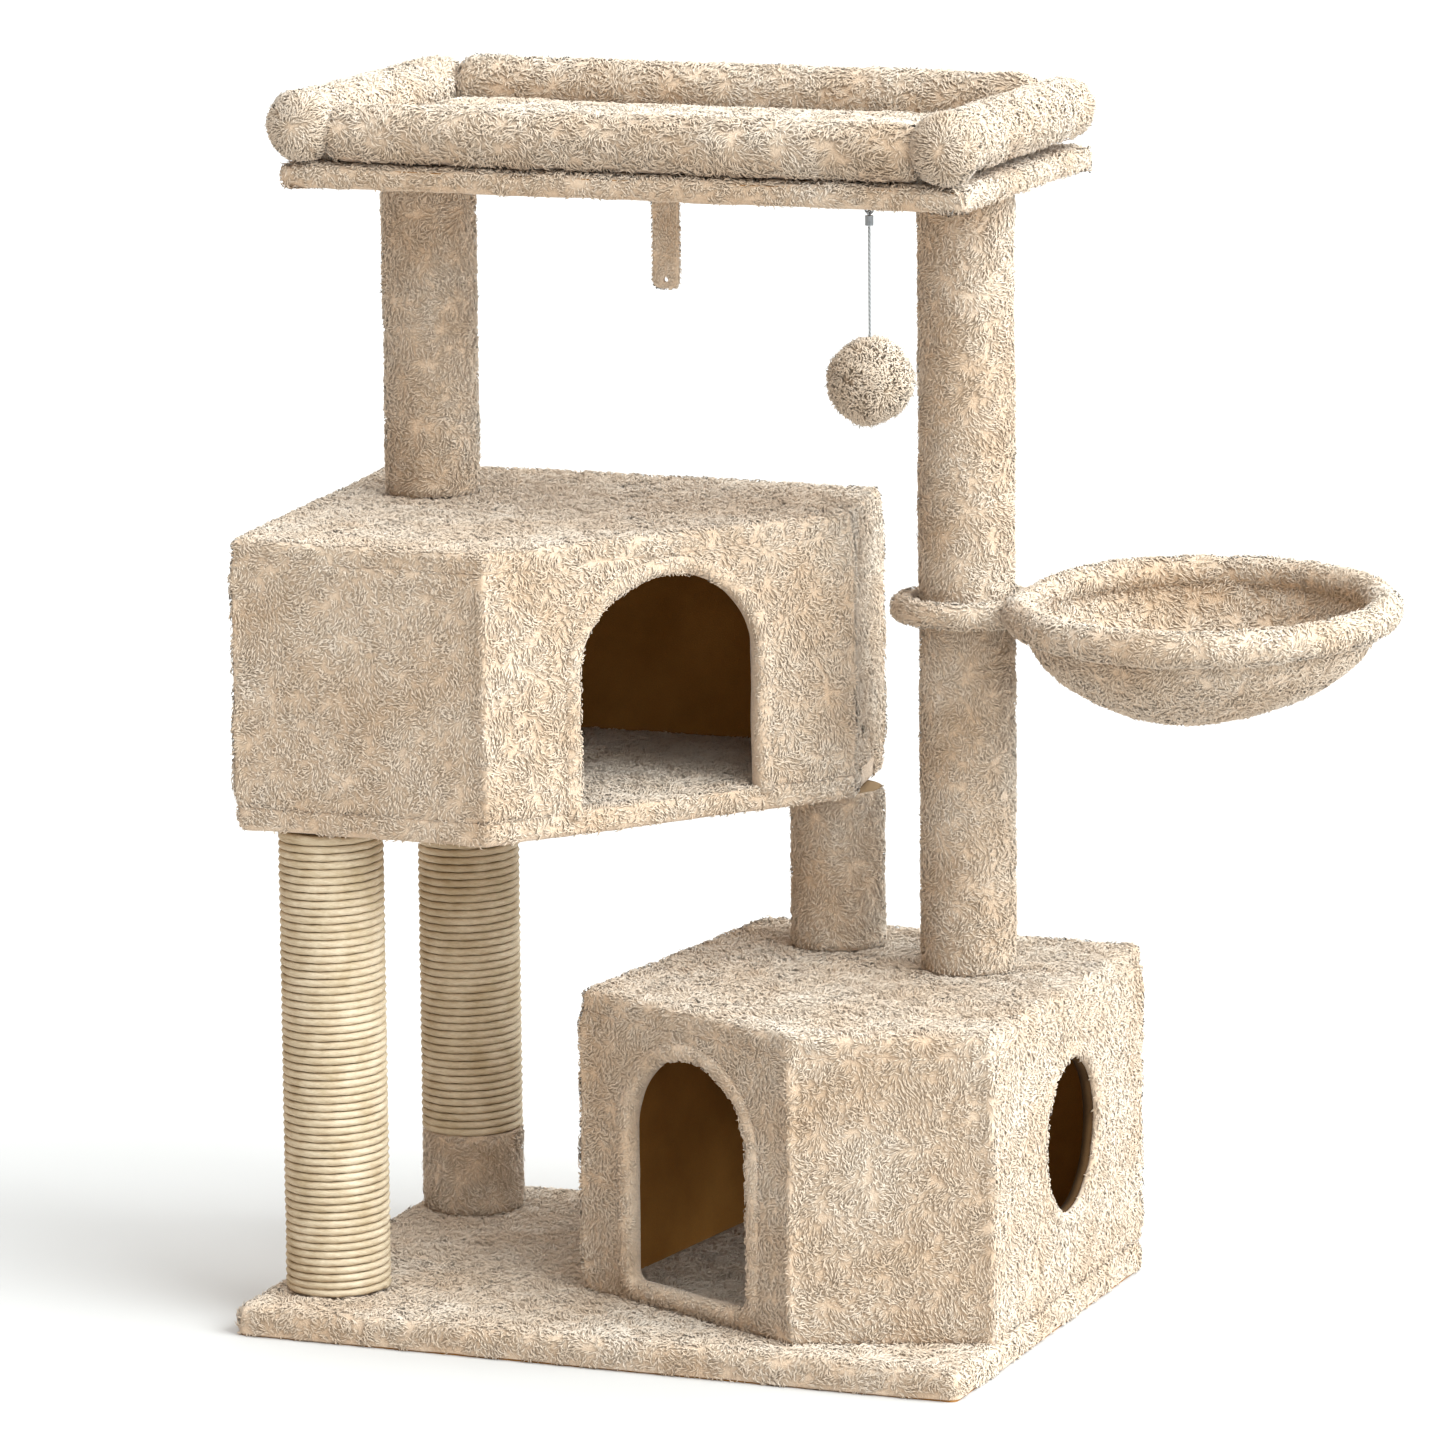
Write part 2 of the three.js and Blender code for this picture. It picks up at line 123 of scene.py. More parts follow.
# ---------- surfaces ----------
def loft(rings, joined=False, capped=False):
    """Points and faces of a surface through closed rings of equally many points."""
    rings = np.asarray(rings, float)
    count, around = rings.shape[:2]
    points = rings.reshape(-1, 3)
    i, j = np.meshgrid(np.arange(count if joined else count - 1), np.arange(around), indexing="ij")
    k, m = (i + 1) % count, (j + 1) % around
    faces = np.stack([i * around + j, i * around + m, k * around + m, k * around + j], -1).reshape(-1, 4).tolist()
    if capped:
        first, last = len(points), (count - 1) * around
        points = np.vstack([points, rings[0].mean(0), rings[-1].mean(0)])
        faces += [[first, (a + 1) % around, a] for a in range(around)]
        faces += [[first + 1, last + a, last + (a + 1) % around] for a in range(around)]
    return points, faces


def tube(path, radii, across, sides=16, closed=False):
    """Rings of a round tube along a path; across is a direction that the path never takes."""
    path = np.asarray(path, float)
    radii = np.broadcast_to(radii, len(path))
    if closed:
        along = unit(np.roll(path, -1, 0) - np.roll(path, 1, 0))
    else:
        along = unit(np.gradient(path, axis=0))
    a = unit(np.cross(np.broadcast_to(across, path.shape), along))
    b = np.cross(along, a)
    turn = np.arange(sides) * 2 * math.pi / sides
    return [p + r * (np.outer(np.cos(turn), x) + np.outer(np.sin(turn), y)) for p, r, x, y in zip(path, radii, a, b)]


def coordinates(obj):
    flat = np.empty(len(obj.data.vertices) * 3, np.float32)
    obj.data.vertices.foreach_get("co", flat)
    return flat.reshape(-1, 3).astype(float)


def normals_of(obj):
    flat = np.empty(len(obj.data.vertices) * 3, np.float32)
    obj.data.vertex_normals.foreach_get("vector", flat)
    return flat.reshape(-1, 3).astype(float)


def move(obj, points):
    obj.data.vertices.foreach_set("co", np.asarray(points, np.float32).ravel())
    obj.data.update()


def push(obj, amount):
    """Moves each point along its normal by amount(points, normals)."""
    points, normals = coordinates(obj), normals_of(obj)
    move(obj, points + normals * np.asarray(amount(points, normals))[:, None])


def soften(obj, fine=0.5 * MM, broad=0.7 * MM, seed=5):
    """The slight unevenness of plush over a board or a core."""
    push(obj, lambda p, n: fine * lumps(p, 14 * MM, seed) + broad * lumps(p, 60 * MM, seed + 1))


def piece(name, points, faces, material, body="root", replaces=(), slot="plush"):
    points = np.asarray(points)
    volume = sum(np.dot(points[f[0]], np.cross(points[f[k]], points[f[k + 1]])) for f in faces for k in range(1, len(f) - 1))
    if volume < 0:
        faces = [f[::-1] for f in faces]
    mesh = bpy.data.meshes.new(name)
    mesh.from_pydata(points.tolist(), [], faces)
    mesh.update()
    mesh.shade_smooth()
    mesh.materials.append(material)
    obj = bpy.data.objects.new(name, mesh)
    bpy.context.scene.collection.objects.link(obj)
    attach(obj, body)
    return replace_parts(obj, *replaces)


# ---------- outlines of the condos and boards ----------
def outline(node):
    """The corners of a CAD node seen from above, counter-clockwise; its outline has no hollows."""
    points = sorted({(round(v.co.x, 4), round(v.co.y, 4)) for v in frame["nodes"][node].data.vertices})
    hull = np.array([points[i] for i in geometry.convex_hull_2d([Vector(p) for p in points])])
    before, after = unit(hull - np.roll(hull, 1, 0)), unit(np.roll(hull, -1, 0) - hull)
    turn = before[:, 0] * after[:, 1] - before[:, 1] * after[:, 0]
    return hull[np.abs(turn) > 0.02]


def edges(corners):
    """Directions along the outline's edges, and out of it."""
    along = unit(np.roll(corners, -1, 0) - corners)
    return along, np.stack([along[:, 1], -along[:, 0]], 1)


def inset(corners, distance):
    _, out = edges(corners)
    shift = [np.linalg.solve([out[k - 1], out[k]], [-distance, -distance]) for k in range(len(corners))]
    return corners + np.array(shift)


def ring(corners, distance, height, radius, spacing=5 * MM, arc=5):
    """Points round the outline moved inwards by distance, with rounded corners, at one height."""
    counts = np.maximum(np.linalg.norm(np.roll(corners, -1, 0) - corners, axis=1) // spacing, 3).astype(int)
    inner = inset(corners, distance)
    along, out = edges(inner)
    bend = max(radius - distance, 1 * MM)
    starts, arcs = [], []
    for k, corner in enumerate(inner):
        first, last = math.atan2(*out[k - 1][::-1]), math.atan2(*out[k][::-1])
        turn = (last - first) % (2 * math.pi)
        centre = corner - along[k - 1] * bend * math.tan(turn / 2) - out[k - 1] * bend
        angles = lies(first, first + turn, arc)
        arcs.append(centre + bend * np.stack([np.cos(angles), np.sin(angles)], 1))
    points = []
    for k, here in enumerate(arcs):
        points += list(here)
        share = lies(0, 1, counts[k] + 2)[1:-1, None]
        points += list(here[-1] + (arcs[(k + 1) % len(arcs)][0] - here[-1]) * share)
    return np.column_stack([points, np.full(len(points), height)])


def lid(rim, height, steps):
    """Rings from a rim in towards its middle at one height."""
    middle = np.append(rim[:, :2].mean(0), height)
    return [rim + (middle - rim) * t for t in lies(0, 1, steps + 1)[1:-1]]


def plate(corners, profile, radius, inside=24):
    """A board-shaped body; profile holds (inset, height) pairs from its underside round to its top."""
    rings = [ring(corners, d, z, radius) for d, z in profile]
    under = lid(rings[0], profile[0][1], inside)
    over = lid(rings[-1], profile[-1][1], inside)
    return loft(under[::-1] + rings + over, capped=True)


def rounded_edge(low, high, round_low, round_high, out=PILE):
    """(inset, height) pairs up a plate's edge between two rounded corners."""
    pairs = [(out + round_low * (1 - math.sin(a)), low + round_low * (1 - math.cos(a))) for a in lies(0, math.pi / 2, 4)]
    pairs += [(out, z) for z in lies(low + round_low, high - round_high, 4)[1:-1]]
    pairs += [(out + round_high * (1 - math.cos(a)), high - round_high * (1 - math.sin(a))) for a in lies(0, math.pi / 2, 5)]
    return pairs


# ---------- pile ----------
LOCK_FACES = [(0, 1, 4, 3), (1, 2, 5, 4), (2, 0, 3, 5), (3, 4, 6), (4, 5, 6), (5, 3, 6), (2, 1, 0)]
LOCKS_IN_A_PIECE = 19500
FLATNESS = 0.6


def roots(skin, spacing, keep, rng):
    """Points on the skin about spacing apart, with the skin's normals there."""
    mesh = skin.data
    mesh.calc_loop_triangles()
    corners = np.empty(len(mesh.loop_triangles) * 3, np.int32)
    mesh.loop_triangles.foreach_get("vertices", corners)
    corners = corners.reshape(-1, 3)
    points, normals = coordinates(skin), normals_of(skin)
    a, b, c = (points[corners[:, k]] for k in range(3))
    area = np.linalg.norm(np.cross(b - a, c - a), axis=1) / 2
    count = int(area.sum() / spacing**2 * 2.4)
    picked = corners[rng.choice(len(corners), count, p=area / area.sum())]
    share = rng.dirichlet((1, 1, 1), count)
    where = (points[picked] * share[:, :, None]).sum(1)
    facing = unit((normals[picked] * share[:, :, None]).sum(1))
    if keep is not None:
        kept = keep(where, facing)
        where, facing = where[kept], facing[kept]
    cell = np.floor(where / spacing).astype(np.int64) + 2000
    _, first = np.unique((cell[:, 0] * 10000 + cell[:, 1]) * 10000 + cell[:, 2], return_index=True)
    return where[first], facing[first]


def laid(tree, points, normal):
    """The nearest places on the skin, and which way it faces there."""
    found = [tree.find_nearest(p) for p in points]
    spots = np.array([f[0] for f in found])
    facing = np.array([f[1] for f in found])
    turned = (facing * normal).sum(1, keepdims=True) < 0
    return spots, np.where(turned, normal, facing)


def pile(skin, name, seed, lay=7.5 * MM, rise=2.0 * MM, width=0.68 * MM, spacing=2.45 * MM, keep=None, fall=0.3,
         curl=0.3, swirl=12 * MM, comb=None):
    """Covers a skin with tapered locks of plush that lie along it in swirls."""
    rng = np.random.default_rng(seed)
    start, normal = roots(skin, spacing, keep, rng)
    if comb is not None:
        flow = comb(start, normal)
    else:
        flow = np.stack([lumps(start, swirl, seed + k) + 0.5 * lumps(start, swirl / 3, seed + 7 + k) for k in range(3)], 1)
        flow[:, 2] -= fall
    flow += rng.normal(0, 0.24, flow.shape)
    along = unit(flow - normal * (flow * normal).sum(1, keepdims=True))
    side = np.cross(normal, along)
    count = len(start)
    reach = (lay * rng.uniform(0.7, 1.3, count))[:, None]
    height = (rise * (0.85 + 0.3 * lumps(start, 8 * MM, seed + 20) + rng.uniform(-0.15, 0.25, count)))[:, None]
    bend = (curl * (lumps(start, 6 * MM, seed + 30) + rng.uniform(-0.5, 0.5, count)))[:, None] * reach
    tree = BVHTree.FromPolygons(coordinates(skin).tolist(), [tuple(f.vertices) for f in skin.data.polygons])
    low = start - normal * 0.8 * MM
    middle, up = laid(tree, start + along * reach * 0.45, normal)
    middle = middle + up * height * 0.95
    tip, up = laid(tree, start + along * reach * 0.95 + side * bend, up)
    stray = (rng.random(count) < 0.22)[:, None] * rng.uniform(0.4, 1.3, (count, 1))
    tip = tip + up * height * (0.6 + stray)
    thick = (width * rng.uniform(0.8, 1.2, count))[:, None]
    lift = unit(np.cross(side, unit(tip - low)))
    lift *= np.where((lift * normal).sum(1, keepdims=True) + (lift * along).sum(1, keepdims=True) < 0, -1, 1)
    corners = []
    for centre, wide in ((low, 0.9), (middle, 1.0)):
        for angle in (math.pi / 2, math.pi * 7 / 6, math.pi * 11 / 6):
            corners.append(centre + thick * wide * (side * math.cos(angle) + lift * FLATNESS * math.sin(angle)))
    corners.append(tip)
    locks = np.stack(corners, 1)
    locks[:, :, 2] = np.maximum(locks[:, :, 2], 0.4 * MM)  # nothing reaches into the floor
    order = np.argsort(start[:, 0] + start[:, 1] * 0.5, kind="stable")
    parts = max(1, math.ceil(count / LOCKS_IN_A_PIECE))
    made = []
    for n, chosen in enumerate(np.array_split(order, parts)):
        label = name if parts == 1 else f"{name}_{n + 1}"
        made.append(lock_mesh(label, locks[chosen], rng.random(len(chosen)), normal[chosen], skin))
    return made


def lock_mesh(name, locks, shade, facing, skin):
    """One piece holding many locks, which moves with its skin."""
    count = len(locks)
    mesh = bpy.data.meshes.new(name)
    mesh.vertices.add(count * 7)
    mesh.vertices.foreach_set("co", locks.astype(np.float32).ravel())
    pattern = np.concatenate(LOCK_FACES)
    starts = np.cumsum([0] + [len(f) for f in LOCK_FACES])
    loops = (np.arange(count)[:, None] * 7 + pattern).ravel()
    mesh.loops.add(len(loops))
    mesh.loops.foreach_set("vertex_index", loops.astype(np.int32))
    mesh.polygons.add(count * len(LOCK_FACES))
    begins = (np.arange(count)[:, None] * starts[-1] + starts[:-1]).ravel()
    mesh.polygons.foreach_set("loop_start", begins.astype(np.int32))
    mesh.update(calc_edges=True)
    mesh.shade_smooth()
    up = mesh.attributes.new("tip", "FLOAT", "POINT")
    up.data.foreach_set("value", np.tile(np.array([0, 0, 0, 0.55, 0.55, 0.55, 1], np.float32), count))
    tint = mesh.attributes.new("shade", "FLOAT", "POINT")
    tint.data.foreach_set("value", np.repeat(shade.astype(np.float32), 7))
    under = mesh.attributes.new("skin_normal", "FLOAT_VECTOR", "POINT")
    under.data.foreach_set("vector", np.repeat(facing.astype(np.float32), 7, axis=0).ravel())
    mesh.materials.append(PLUSH_PILE)
    obj = bpy.data.objects.new(name, mesh)
    bpy.context.scene.collection.objects.link(obj)
    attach(obj, skin["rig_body"])
    return obj


# ---------- materials ----------
def node(tree, kind, inputs=None, **settings):
    made = tree.nodes.new("ShaderNode" + kind)
    for key, value in settings.items():
        setattr(made, key, value)
    for key, value in (inputs or {}).items():
        if isinstance(value, bpy.types.NodeSocket):
            tree.links.new(value, made.inputs[key])
        else:
            made.inputs[key].default_value = value
    return made


def noise(tree, scale, detail=3.0, vector=None, rough=0.5):
    place = vector or node(tree, "TexCoord").outputs["Object"]
    inputs = {"Vector": place, "Scale": scale, "Detail": detail, "Roughness": rough}
    return node(tree, "TexNoise", inputs).outputs["Fac"]


def ramp(tree, factor, *stops):
    """Colours along a factor; each stop is (place, colour)."""
    made = node(tree, "ValToRGB", {"Fac": factor})
    points = made.color_ramp.elements
    while len(points) < len(stops):
        points.new(0.5)
    for point, (place, colour) in zip(points, stops):
        point.position = place
        point.color = (*colour, 1)
    return made.outputs["Color"]


def mixed(tree, factor, a, b, blend="MIX"):
    made = node(tree, "Mix", {0: factor, 6: a if isinstance(a, bpy.types.NodeSocket) else (*a, 1),
                              7: b if isinstance(b, bpy.types.NodeSocket) else (*b, 1)}, data_type="RGBA", blend_type=blend)
    return made.outputs[2]


def attribute(tree, name):
    return node(tree, "Attribute", attribute_name=name).outputs["Fac"]


def bumped(tree, height, distance, strength=1.0):
    return node(tree, "Bump", {"Height": height, "Distance": distance, "Strength": strength}).outputs["Normal"]


def material(name, build, **constants):
    """A Principled material; build(tree) returns the sockets for its inputs."""
    made = bpy.data.materials.new(name)
    made.use_nodes = True
    tree = made.node_tree
    shader = tree.nodes["Principled BSDF"]
    for key, value in constants.items():
        shader.inputs[key.replace("_", " ")].default_value = value
    for key, socket in build(tree).items():
        tree.links.new(socket, shader.inputs[key])
    return made


CREAM_LOW, CREAM_HIGH = (0.80, 0.61, 0.445), (0.94, 0.795, 0.655)


def cream(tree):
    """The plush's own colour: cream in broad, soft-edged patches."""
    patches = ramp(tree, noise(tree, 17, 4), (0.3, CREAM_LOW), (0.68, CREAM_HIGH))
    flecks = ramp(tree, noise(tree, 95, 3), (0.3, (0.90, 0.88, 0.85)), (0.65, (1, 1, 1)))
    return mixed(tree, 1.0, patches, flecks, "MULTIPLY")


def pile_look(tree):
    # Painted shade: each lock is darker and warmer towards its root, where it lies down among the other locks.
    painted_root_shade = ramp(tree, attribute(tree, "tip"), (0.0, (0.80, 0.72, 0.62)), (0.55, (0.95, 0.93, 0.90)), (1.0, (1, 1, 1)))
    colour = mixed(tree, 1.0, cream(tree), painted_root_shade, "MULTIPLY")
    locks = ramp(tree, attribute(tree, "shade"), (0.0, (0.92, 0.905, 0.88)), (1.0, (1, 1, 1)))
    under = node(tree, "Attribute", attribute_name="skin_normal").outputs["Vector"]
    under = node(tree, "VectorTransform", {"Vector": under}, vector_type="NORMAL", convert_from="OBJECT",
                 convert_to="WORLD").outputs["Vector"]
    own = node(tree, "NewGeometry").outputs["Normal"]
    soft = node(tree, "Mix", {0: 0.7, 4: own, 5: under}, data_type="VECTOR").outputs[1]
    soft = node(tree, "VectorMath", {0: soft}, operation="NORMALIZE").outputs["Vector"]
    return {
        "Base Color": mixed(tree, 1.0, colour, locks, "MULTIPLY"),
        "Roughness": ramp(tree, noise(tree, 300, 2), (0.3, (0.8,) * 3), (0.7, (0.97,) * 3)),
        "Normal": soft,
    }


def skin_look(tree):
    # Painted shade: the backing is darker and warmer than the pile, for the shade down between the locks where it
    # shows through.
    colour = mixed(tree, 1.0, cream(tree), (0.84, 0.77, 0.69), "MULTIPLY")
    fluff = noise(tree, 420, 4, rough=0.65)
    return {
        "Base Color": mixed(tree, 1.0, colour, ramp(tree, fluff, (0.35, (0.8,) * 3), (0.65, (1,) * 3)), "MULTIPLY"),
        "Roughness": ramp(tree, fluff, (0.3, (0.85,) * 3), (0.7, (1,) * 3)),
        "Normal": bumped(tree, fluff, 1.5 * MM, 0.9),
    }


def felt_look(tree):
    """Brown felt glued over the boards' inside faces."""
    blotches = ramp(tree, noise(tree, 14, 5), (0.3, (0.30, 0.125, 0.022)), (0.7, (0.43, 0.19, 0.04)))
    fibres = noise(tree, 900, 3)
    return {
        "Base Color": mixed(tree, 1.0, blotches, ramp(tree, fibres, (0.3, (0.8,) * 3), (0.7, (1,) * 3)), "MULTIPLY"),
        "Roughness": ramp(tree, fibres, (0.3, (0.85,) * 3), (0.7, (1,) * 3)),
        "Normal": bumped(tree, fibres, 0.4 * MM, 0.6),
    }


def porthole_shade_look(tree):
    """The same felt painted near black as the shade inside the porthole, for the band round its cut edge."""
    fibres = noise(tree, 900, 3)
    return {
        "Base Color": ramp(tree, noise(tree, 40, 5), (0.3, (0.055, 0.026, 0.008)), (0.7, (0.095, 0.047, 0.016))),
        "Roughness": ramp(tree, fibres, (0.3, (0.85,) * 3), (0.7, (1,) * 3)),
        "Normal": bumped(tree, fibres, 0.4 * MM, 0.6),
    }


def card_look(tree):
    """Wound cardboard: paper in slanting bands with a soft fibre."""
    place = node(tree, "TexCoord").outputs["Object"]
    bands = node(tree, "TexWave", {"Vector": place, "Scale": 9.0, "Distortion": 1.5, "Detail": 2.0}, bands_direction="Z")
    paper = ramp(tree, bands.outputs["Fac"], (0.2, (0.36, 0.235, 0.12)), (0.8, (0.44, 0.30, 0.16)))
    fibres = noise(tree, 700, 4)
    return {
        "Base Color": mixed(tree, 1.0, paper, ramp(tree, fibres, (0.3, (0.82,) * 3), (0.7, (1,) * 3)), "MULTIPLY"),
        "Roughness": ramp(tree, fibres, (0.3, (0.8,) * 3), (0.7, (0.95,) * 3)),
        "Normal": bumped(tree, fibres, 0.2 * MM, 0.5),
    }


def sisal_look(tree):
    """Sisal rope: straw fibres along the twisted strands, with painted shade in the grooves between the strands and on
    the side facing the post.
    """
    tone = ramp(tree, noise(tree, 45, 5), (0.3, (0.52, 0.40, 0.25)), (0.7, (0.70, 0.578, 0.415)))
    painted_groove_shade = ramp(tree, attribute(tree, "strand"), (0.0, (0.70, 0.62, 0.52)), (0.45, (0.93, 0.90, 0.87)), (1.0, (1, 1, 1)))
    place = node(tree, "TexCoord").outputs["Object"]
    stretched = node(tree, "Mapping", {"Vector": place, "Scale": (260, 260, 1900)}).outputs["Vector"]
    fibres = noise(tree, 1.0, 4, stretched, 0.6)
    colour = mixed(tree, 1.0, tone, painted_groove_shade, "MULTIPLY")
    return {
        "Base Color": mixed(tree, 1.0, colour, ramp(tree, fibres, (0.3, (0.78, 0.75, 0.7)), (0.62, (1,) * 3)), "MULTIPLY"),
        "Roughness": ramp(tree, fibres, (0.3, (0.62,) * 3), (0.7, (0.85,) * 3)),
        "Normal": bumped(tree, fibres, 0.5 * MM, 0.8),
    }


def steel_look(tree):
    wear = noise(tree, 180, 4)
    return {
        "Base Color": ramp(tree, wear, (0.3, (0.20, 0.205, 0.21)), (0.7, (0.30, 0.305, 0.31))),
        "Roughness": ramp(tree, wear, (0.3, (0.28,) * 3), (0.7, (0.42,) * 3)),
        "Normal": bumped(tree, noise(tree, 1400, 2), 0.05 * MM, 0.4),
    }


def string_look(tree):
    twist = node(tree, "TexWave", {"Scale": 190.0, "Distortion": 0.5, "Vector": node(tree, "TexCoord").outputs["Object"]},
                 bands_direction="DIAGONAL").outputs["Fac"]
    return {
        "Base Color": ramp(tree, twist, (0.0, (0.20, 0.20, 0.195)), (0.7, (0.34, 0.34, 0.335))),
        "Roughness": ramp(tree, twist, (0.0, (0.75,) * 3), (1.0, (0.6,) * 3)),
        "Normal": bumped(tree, twist, 0.3 * MM, 0.8),
    }


SHEEN = {"Sheen_Weight": 0.35, "Sheen_Roughness": 0.5, "Sheen_Tint": (1.0, 0.95, 0.88, 1.0)}
PLUSH_PILE = material("plush_pile", pile_look, **SHEEN)
PLUSH_SKIN = material("plush_backing", skin_look, **SHEEN)
FELT = material("brown_felt", felt_look, Specular_IOR_Level=0.2)
PORTHOLE_SHADE_FELT = material("felt_painted_as_shade", porthole_shade_look, Specular_IOR_Level=0.2)
CARD = material("cardboard", card_look, Specular_IOR_Level=0.3)
SISAL = material("sisal", sisal_look, Specular_IOR_Level=0.35)
STEEL = material("steel", steel_look, Metallic=1.0)
STRING = material("string", string_look, Specular_IOR_Level=0.3)


# ---------- stage, light and camera ----------
KEY_SIDE = (0.72, 0.20, 0.60)  # the bright side of the studio
KEY_FROM = (0.80, -0.13, 0.62)

def stage():
    """A pale floor with no edge in view, and soft light from everywhere, brightest from the upper right."""
    half = 30
    mesh = bpy.data.meshes.new("floor")
    mesh.from_pydata([(-half, -half, 0), (half, -half, 0), (half, half, 0), (-half, half, 0)], [], [(0, 1, 2, 3)])
    floor = bpy.data.objects.new("floor", mesh)
    bpy.context.scene.collection.objects.link(floor)
    mesh.materials.append(material("floor", lambda tree: {"Base Color": ramp(
        tree, noise(tree, 2, 2), (0.0, (0.57, 0.54, 0.51)), (1.0, (0.59, 0.56, 0.53)))}, Roughness=0.9))
    world = bpy.data.worlds.new("studio")
    world.use_nodes = True
    tree = world.node_tree
    toward = node(tree, "VectorMath", {0: node(tree, "TexCoord").outputs["Generated"], 1: KEY_SIDE},
                  operation="DOT_PRODUCT").outputs["Value"]
    share = node(tree, "Math", {0: toward, 1: 0.5, 2: 0.5}, operation="MULTIPLY_ADD").outputs["Value"]
    glow = ramp(tree, share, (0.42, (0.17, 0.12, 0.08)), (0.79, (0.85, 0.94, 1.0)))
    tree.links.new(glow, tree.nodes["Background"].inputs["Color"])
    tree.nodes["Background"].inputs["Strength"].default_value = 2.4
    bpy.context.scene.world = world
    bpy.context.scene.view_settings.view_transform = "Standard"


def key_light():
    """A broad soft light from the right, a little to the front."""
    light = bpy.data.lights.new("key", "SUN")
    light.energy = 3.8
    light.angle = math.radians(50)
    light.color = (0.86, 0.945, 1.0)
    obj = bpy.data.objects.new("key", light)
    bpy.context.scene.collection.objects.link(obj)
    obj.rotation_euler = Vector(KEY_FROM).to_track_quat("Z", "Y").to_euler()


def camera():
    yaw, pitch, roll = 0.379, -0.1862, -0.0095
    ahead = Vector((-math.sin(yaw) * math.cos(pitch), math.cos(yaw) * math.cos(pitch), math.sin(pitch)))
    right = Vector((math.cos(yaw), math.sin(yaw), 0))
    upright = right.cross(ahead)
    tilted = right * math.cos(roll) + upright * math.sin(roll)
    top = upright * math.cos(roll) - right * math.sin(roll)
    lens = bpy.data.cameras.new("camera")
    lens.sensor_width = 36
    lens.lens = 208.54
    lens.clip_end = 200
    obj = bpy.data.objects.new("camera", lens)
    bpy.context.scene.collection.objects.link(obj)
    place = Matrix((tilted, top, -ahead)).transposed().to_4x4()
    place.translation = (2.3742, -5.8991, 1.6621)
    obj.matrix_world = place
    bpy.context.scene.camera = obj


stage()
key_light()
camera()


# ---------- the CAD pieces that show as they are ----------
def keep_boards():
    """Boards, cores, bolts and wires keep their CAD shapes and get their materials."""
    looks = {"plush": PLUSH_SKIN, "sisal": SISAL, "board": FELT, "cardboard": CARD, "steel": STEEL, "string": STRING}
    for part in frame["record"]["subparts"]:
        obj, slot = frame["nodes"][part["node"]], part["material_slot"]
        obj.data.materials.clear()
        obj.data.materials.append(looks[slot])


keep_boards()


# ---------- plush over the base, roofs, floor and perch ----------
def off_posts(points):
    """True where no post stands."""
    free = np.ones(len(points), bool)
    for core in ("perch_left", "perch_right", "condo_right", "condo_front", "condo_rear"):
        low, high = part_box(f"{core}_post_core")
        middle = (low + high) / 2
        near = np.hypot(points[:, 0] - middle.x, points[:, 1] - middle.y) < 34 * MM
        free &= ~(near & (points[:, 2] > low.z - 0.03) & (points[:, 2] < high.z + 0.03))
    return free


def top_and_sides(points, normals):
    return (normals[:, 2] > -0.5) & off_posts(points)


def base():
    low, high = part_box("base_plush_cover")
    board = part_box("base_board")[1].z + 0.3 * MM
    corners = np.array([(low.x, low.y), (high.x, low.y), (high.x, high.y), (low.x, high.y)])
    profile = [(4.1 * MM, board), (4.1 * MM, low.z)]
    profile += rounded_edge(low.z, high.z - PILE, 1.5 * MM, 8 * MM)
    skin = piece("base_plush", *plate(corners, profile, 12 * MM), PLUSH_SKIN, replaces=["base_plush_cover"])
    soften(skin, seed=11)
    pile(skin, "base_pile", 12, lay=8.5 * MM, keep=lambda p, n: top_and_sides(p, n) & (p[:, 2] > 3 * MM), fall=0.0)


def roof(prefix, seed):
    low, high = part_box(f"{prefix}_roof_plush_cover")
    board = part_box(f"{prefix}_roof_board")[1].z + 0.3 * MM
    profile = [(BACKING, board), (BACKING, low.z)]
    profile += rounded_edge(low.z - 0.3 * MM, high.z - PILE, 0.7 * MM, 4.5 * MM)
    points, faces = plate(outline(f"{prefix}_roof_plush_cover"), profile, 7 * MM)
    skin = piece(f"{prefix}_roof_plush", points, faces, PLUSH_SKIN, replaces=[f"{prefix}_roof_plush_cover"])
    soften(skin, seed=seed)
    pile(skin, f"{prefix}_roof_pile", seed + 1, keep=top_and_sides, fall=0.05)


def wrapped(prefix, seed, round_low, round_high, sunk):
    """A board with plush all round it; its top skin lies sunk below the part's."""
    low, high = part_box(f"{prefix}_plush_cover")
    profile = rounded_edge(low.z + 1.5 * MM, high.z - sunk, round_low, round_high)
    points, faces = plate(outline(f"{prefix}_plush_cover"), profile, 9 * MM)
    skin = piece(f"{prefix}_plush", points, faces, PLUSH_SKIN, replaces=[f"{prefix}_plush_cover"])
    soften(skin, seed=seed)
    return skin


def perch_board():
    skin = wrapped("perch", 31, 7 * MM, 7 * MM, PILE)
    low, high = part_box("perch_pad")

    def shown(p, n):
        under_pad = (p[:, 0] > low.x) & (p[:, 0] < high.x) & (p[:, 1] > low.y) & (p[:, 1] < high.y) & (n[:, 2] > 0.5)
        return top_and_sides(p, n) & ~under_pad

    pile(skin, "perch_pile", 32, keep=shown, fall=0.1)


# ---------- condo walls ----------
def wall_frame(corners, wall):
    """A wall's corner, its direction and its outward normal."""
    along, out = edges(corners)
    return np.append(corners[wall], 0), np.append(along[wall], 0), np.append(out[wall], 0)


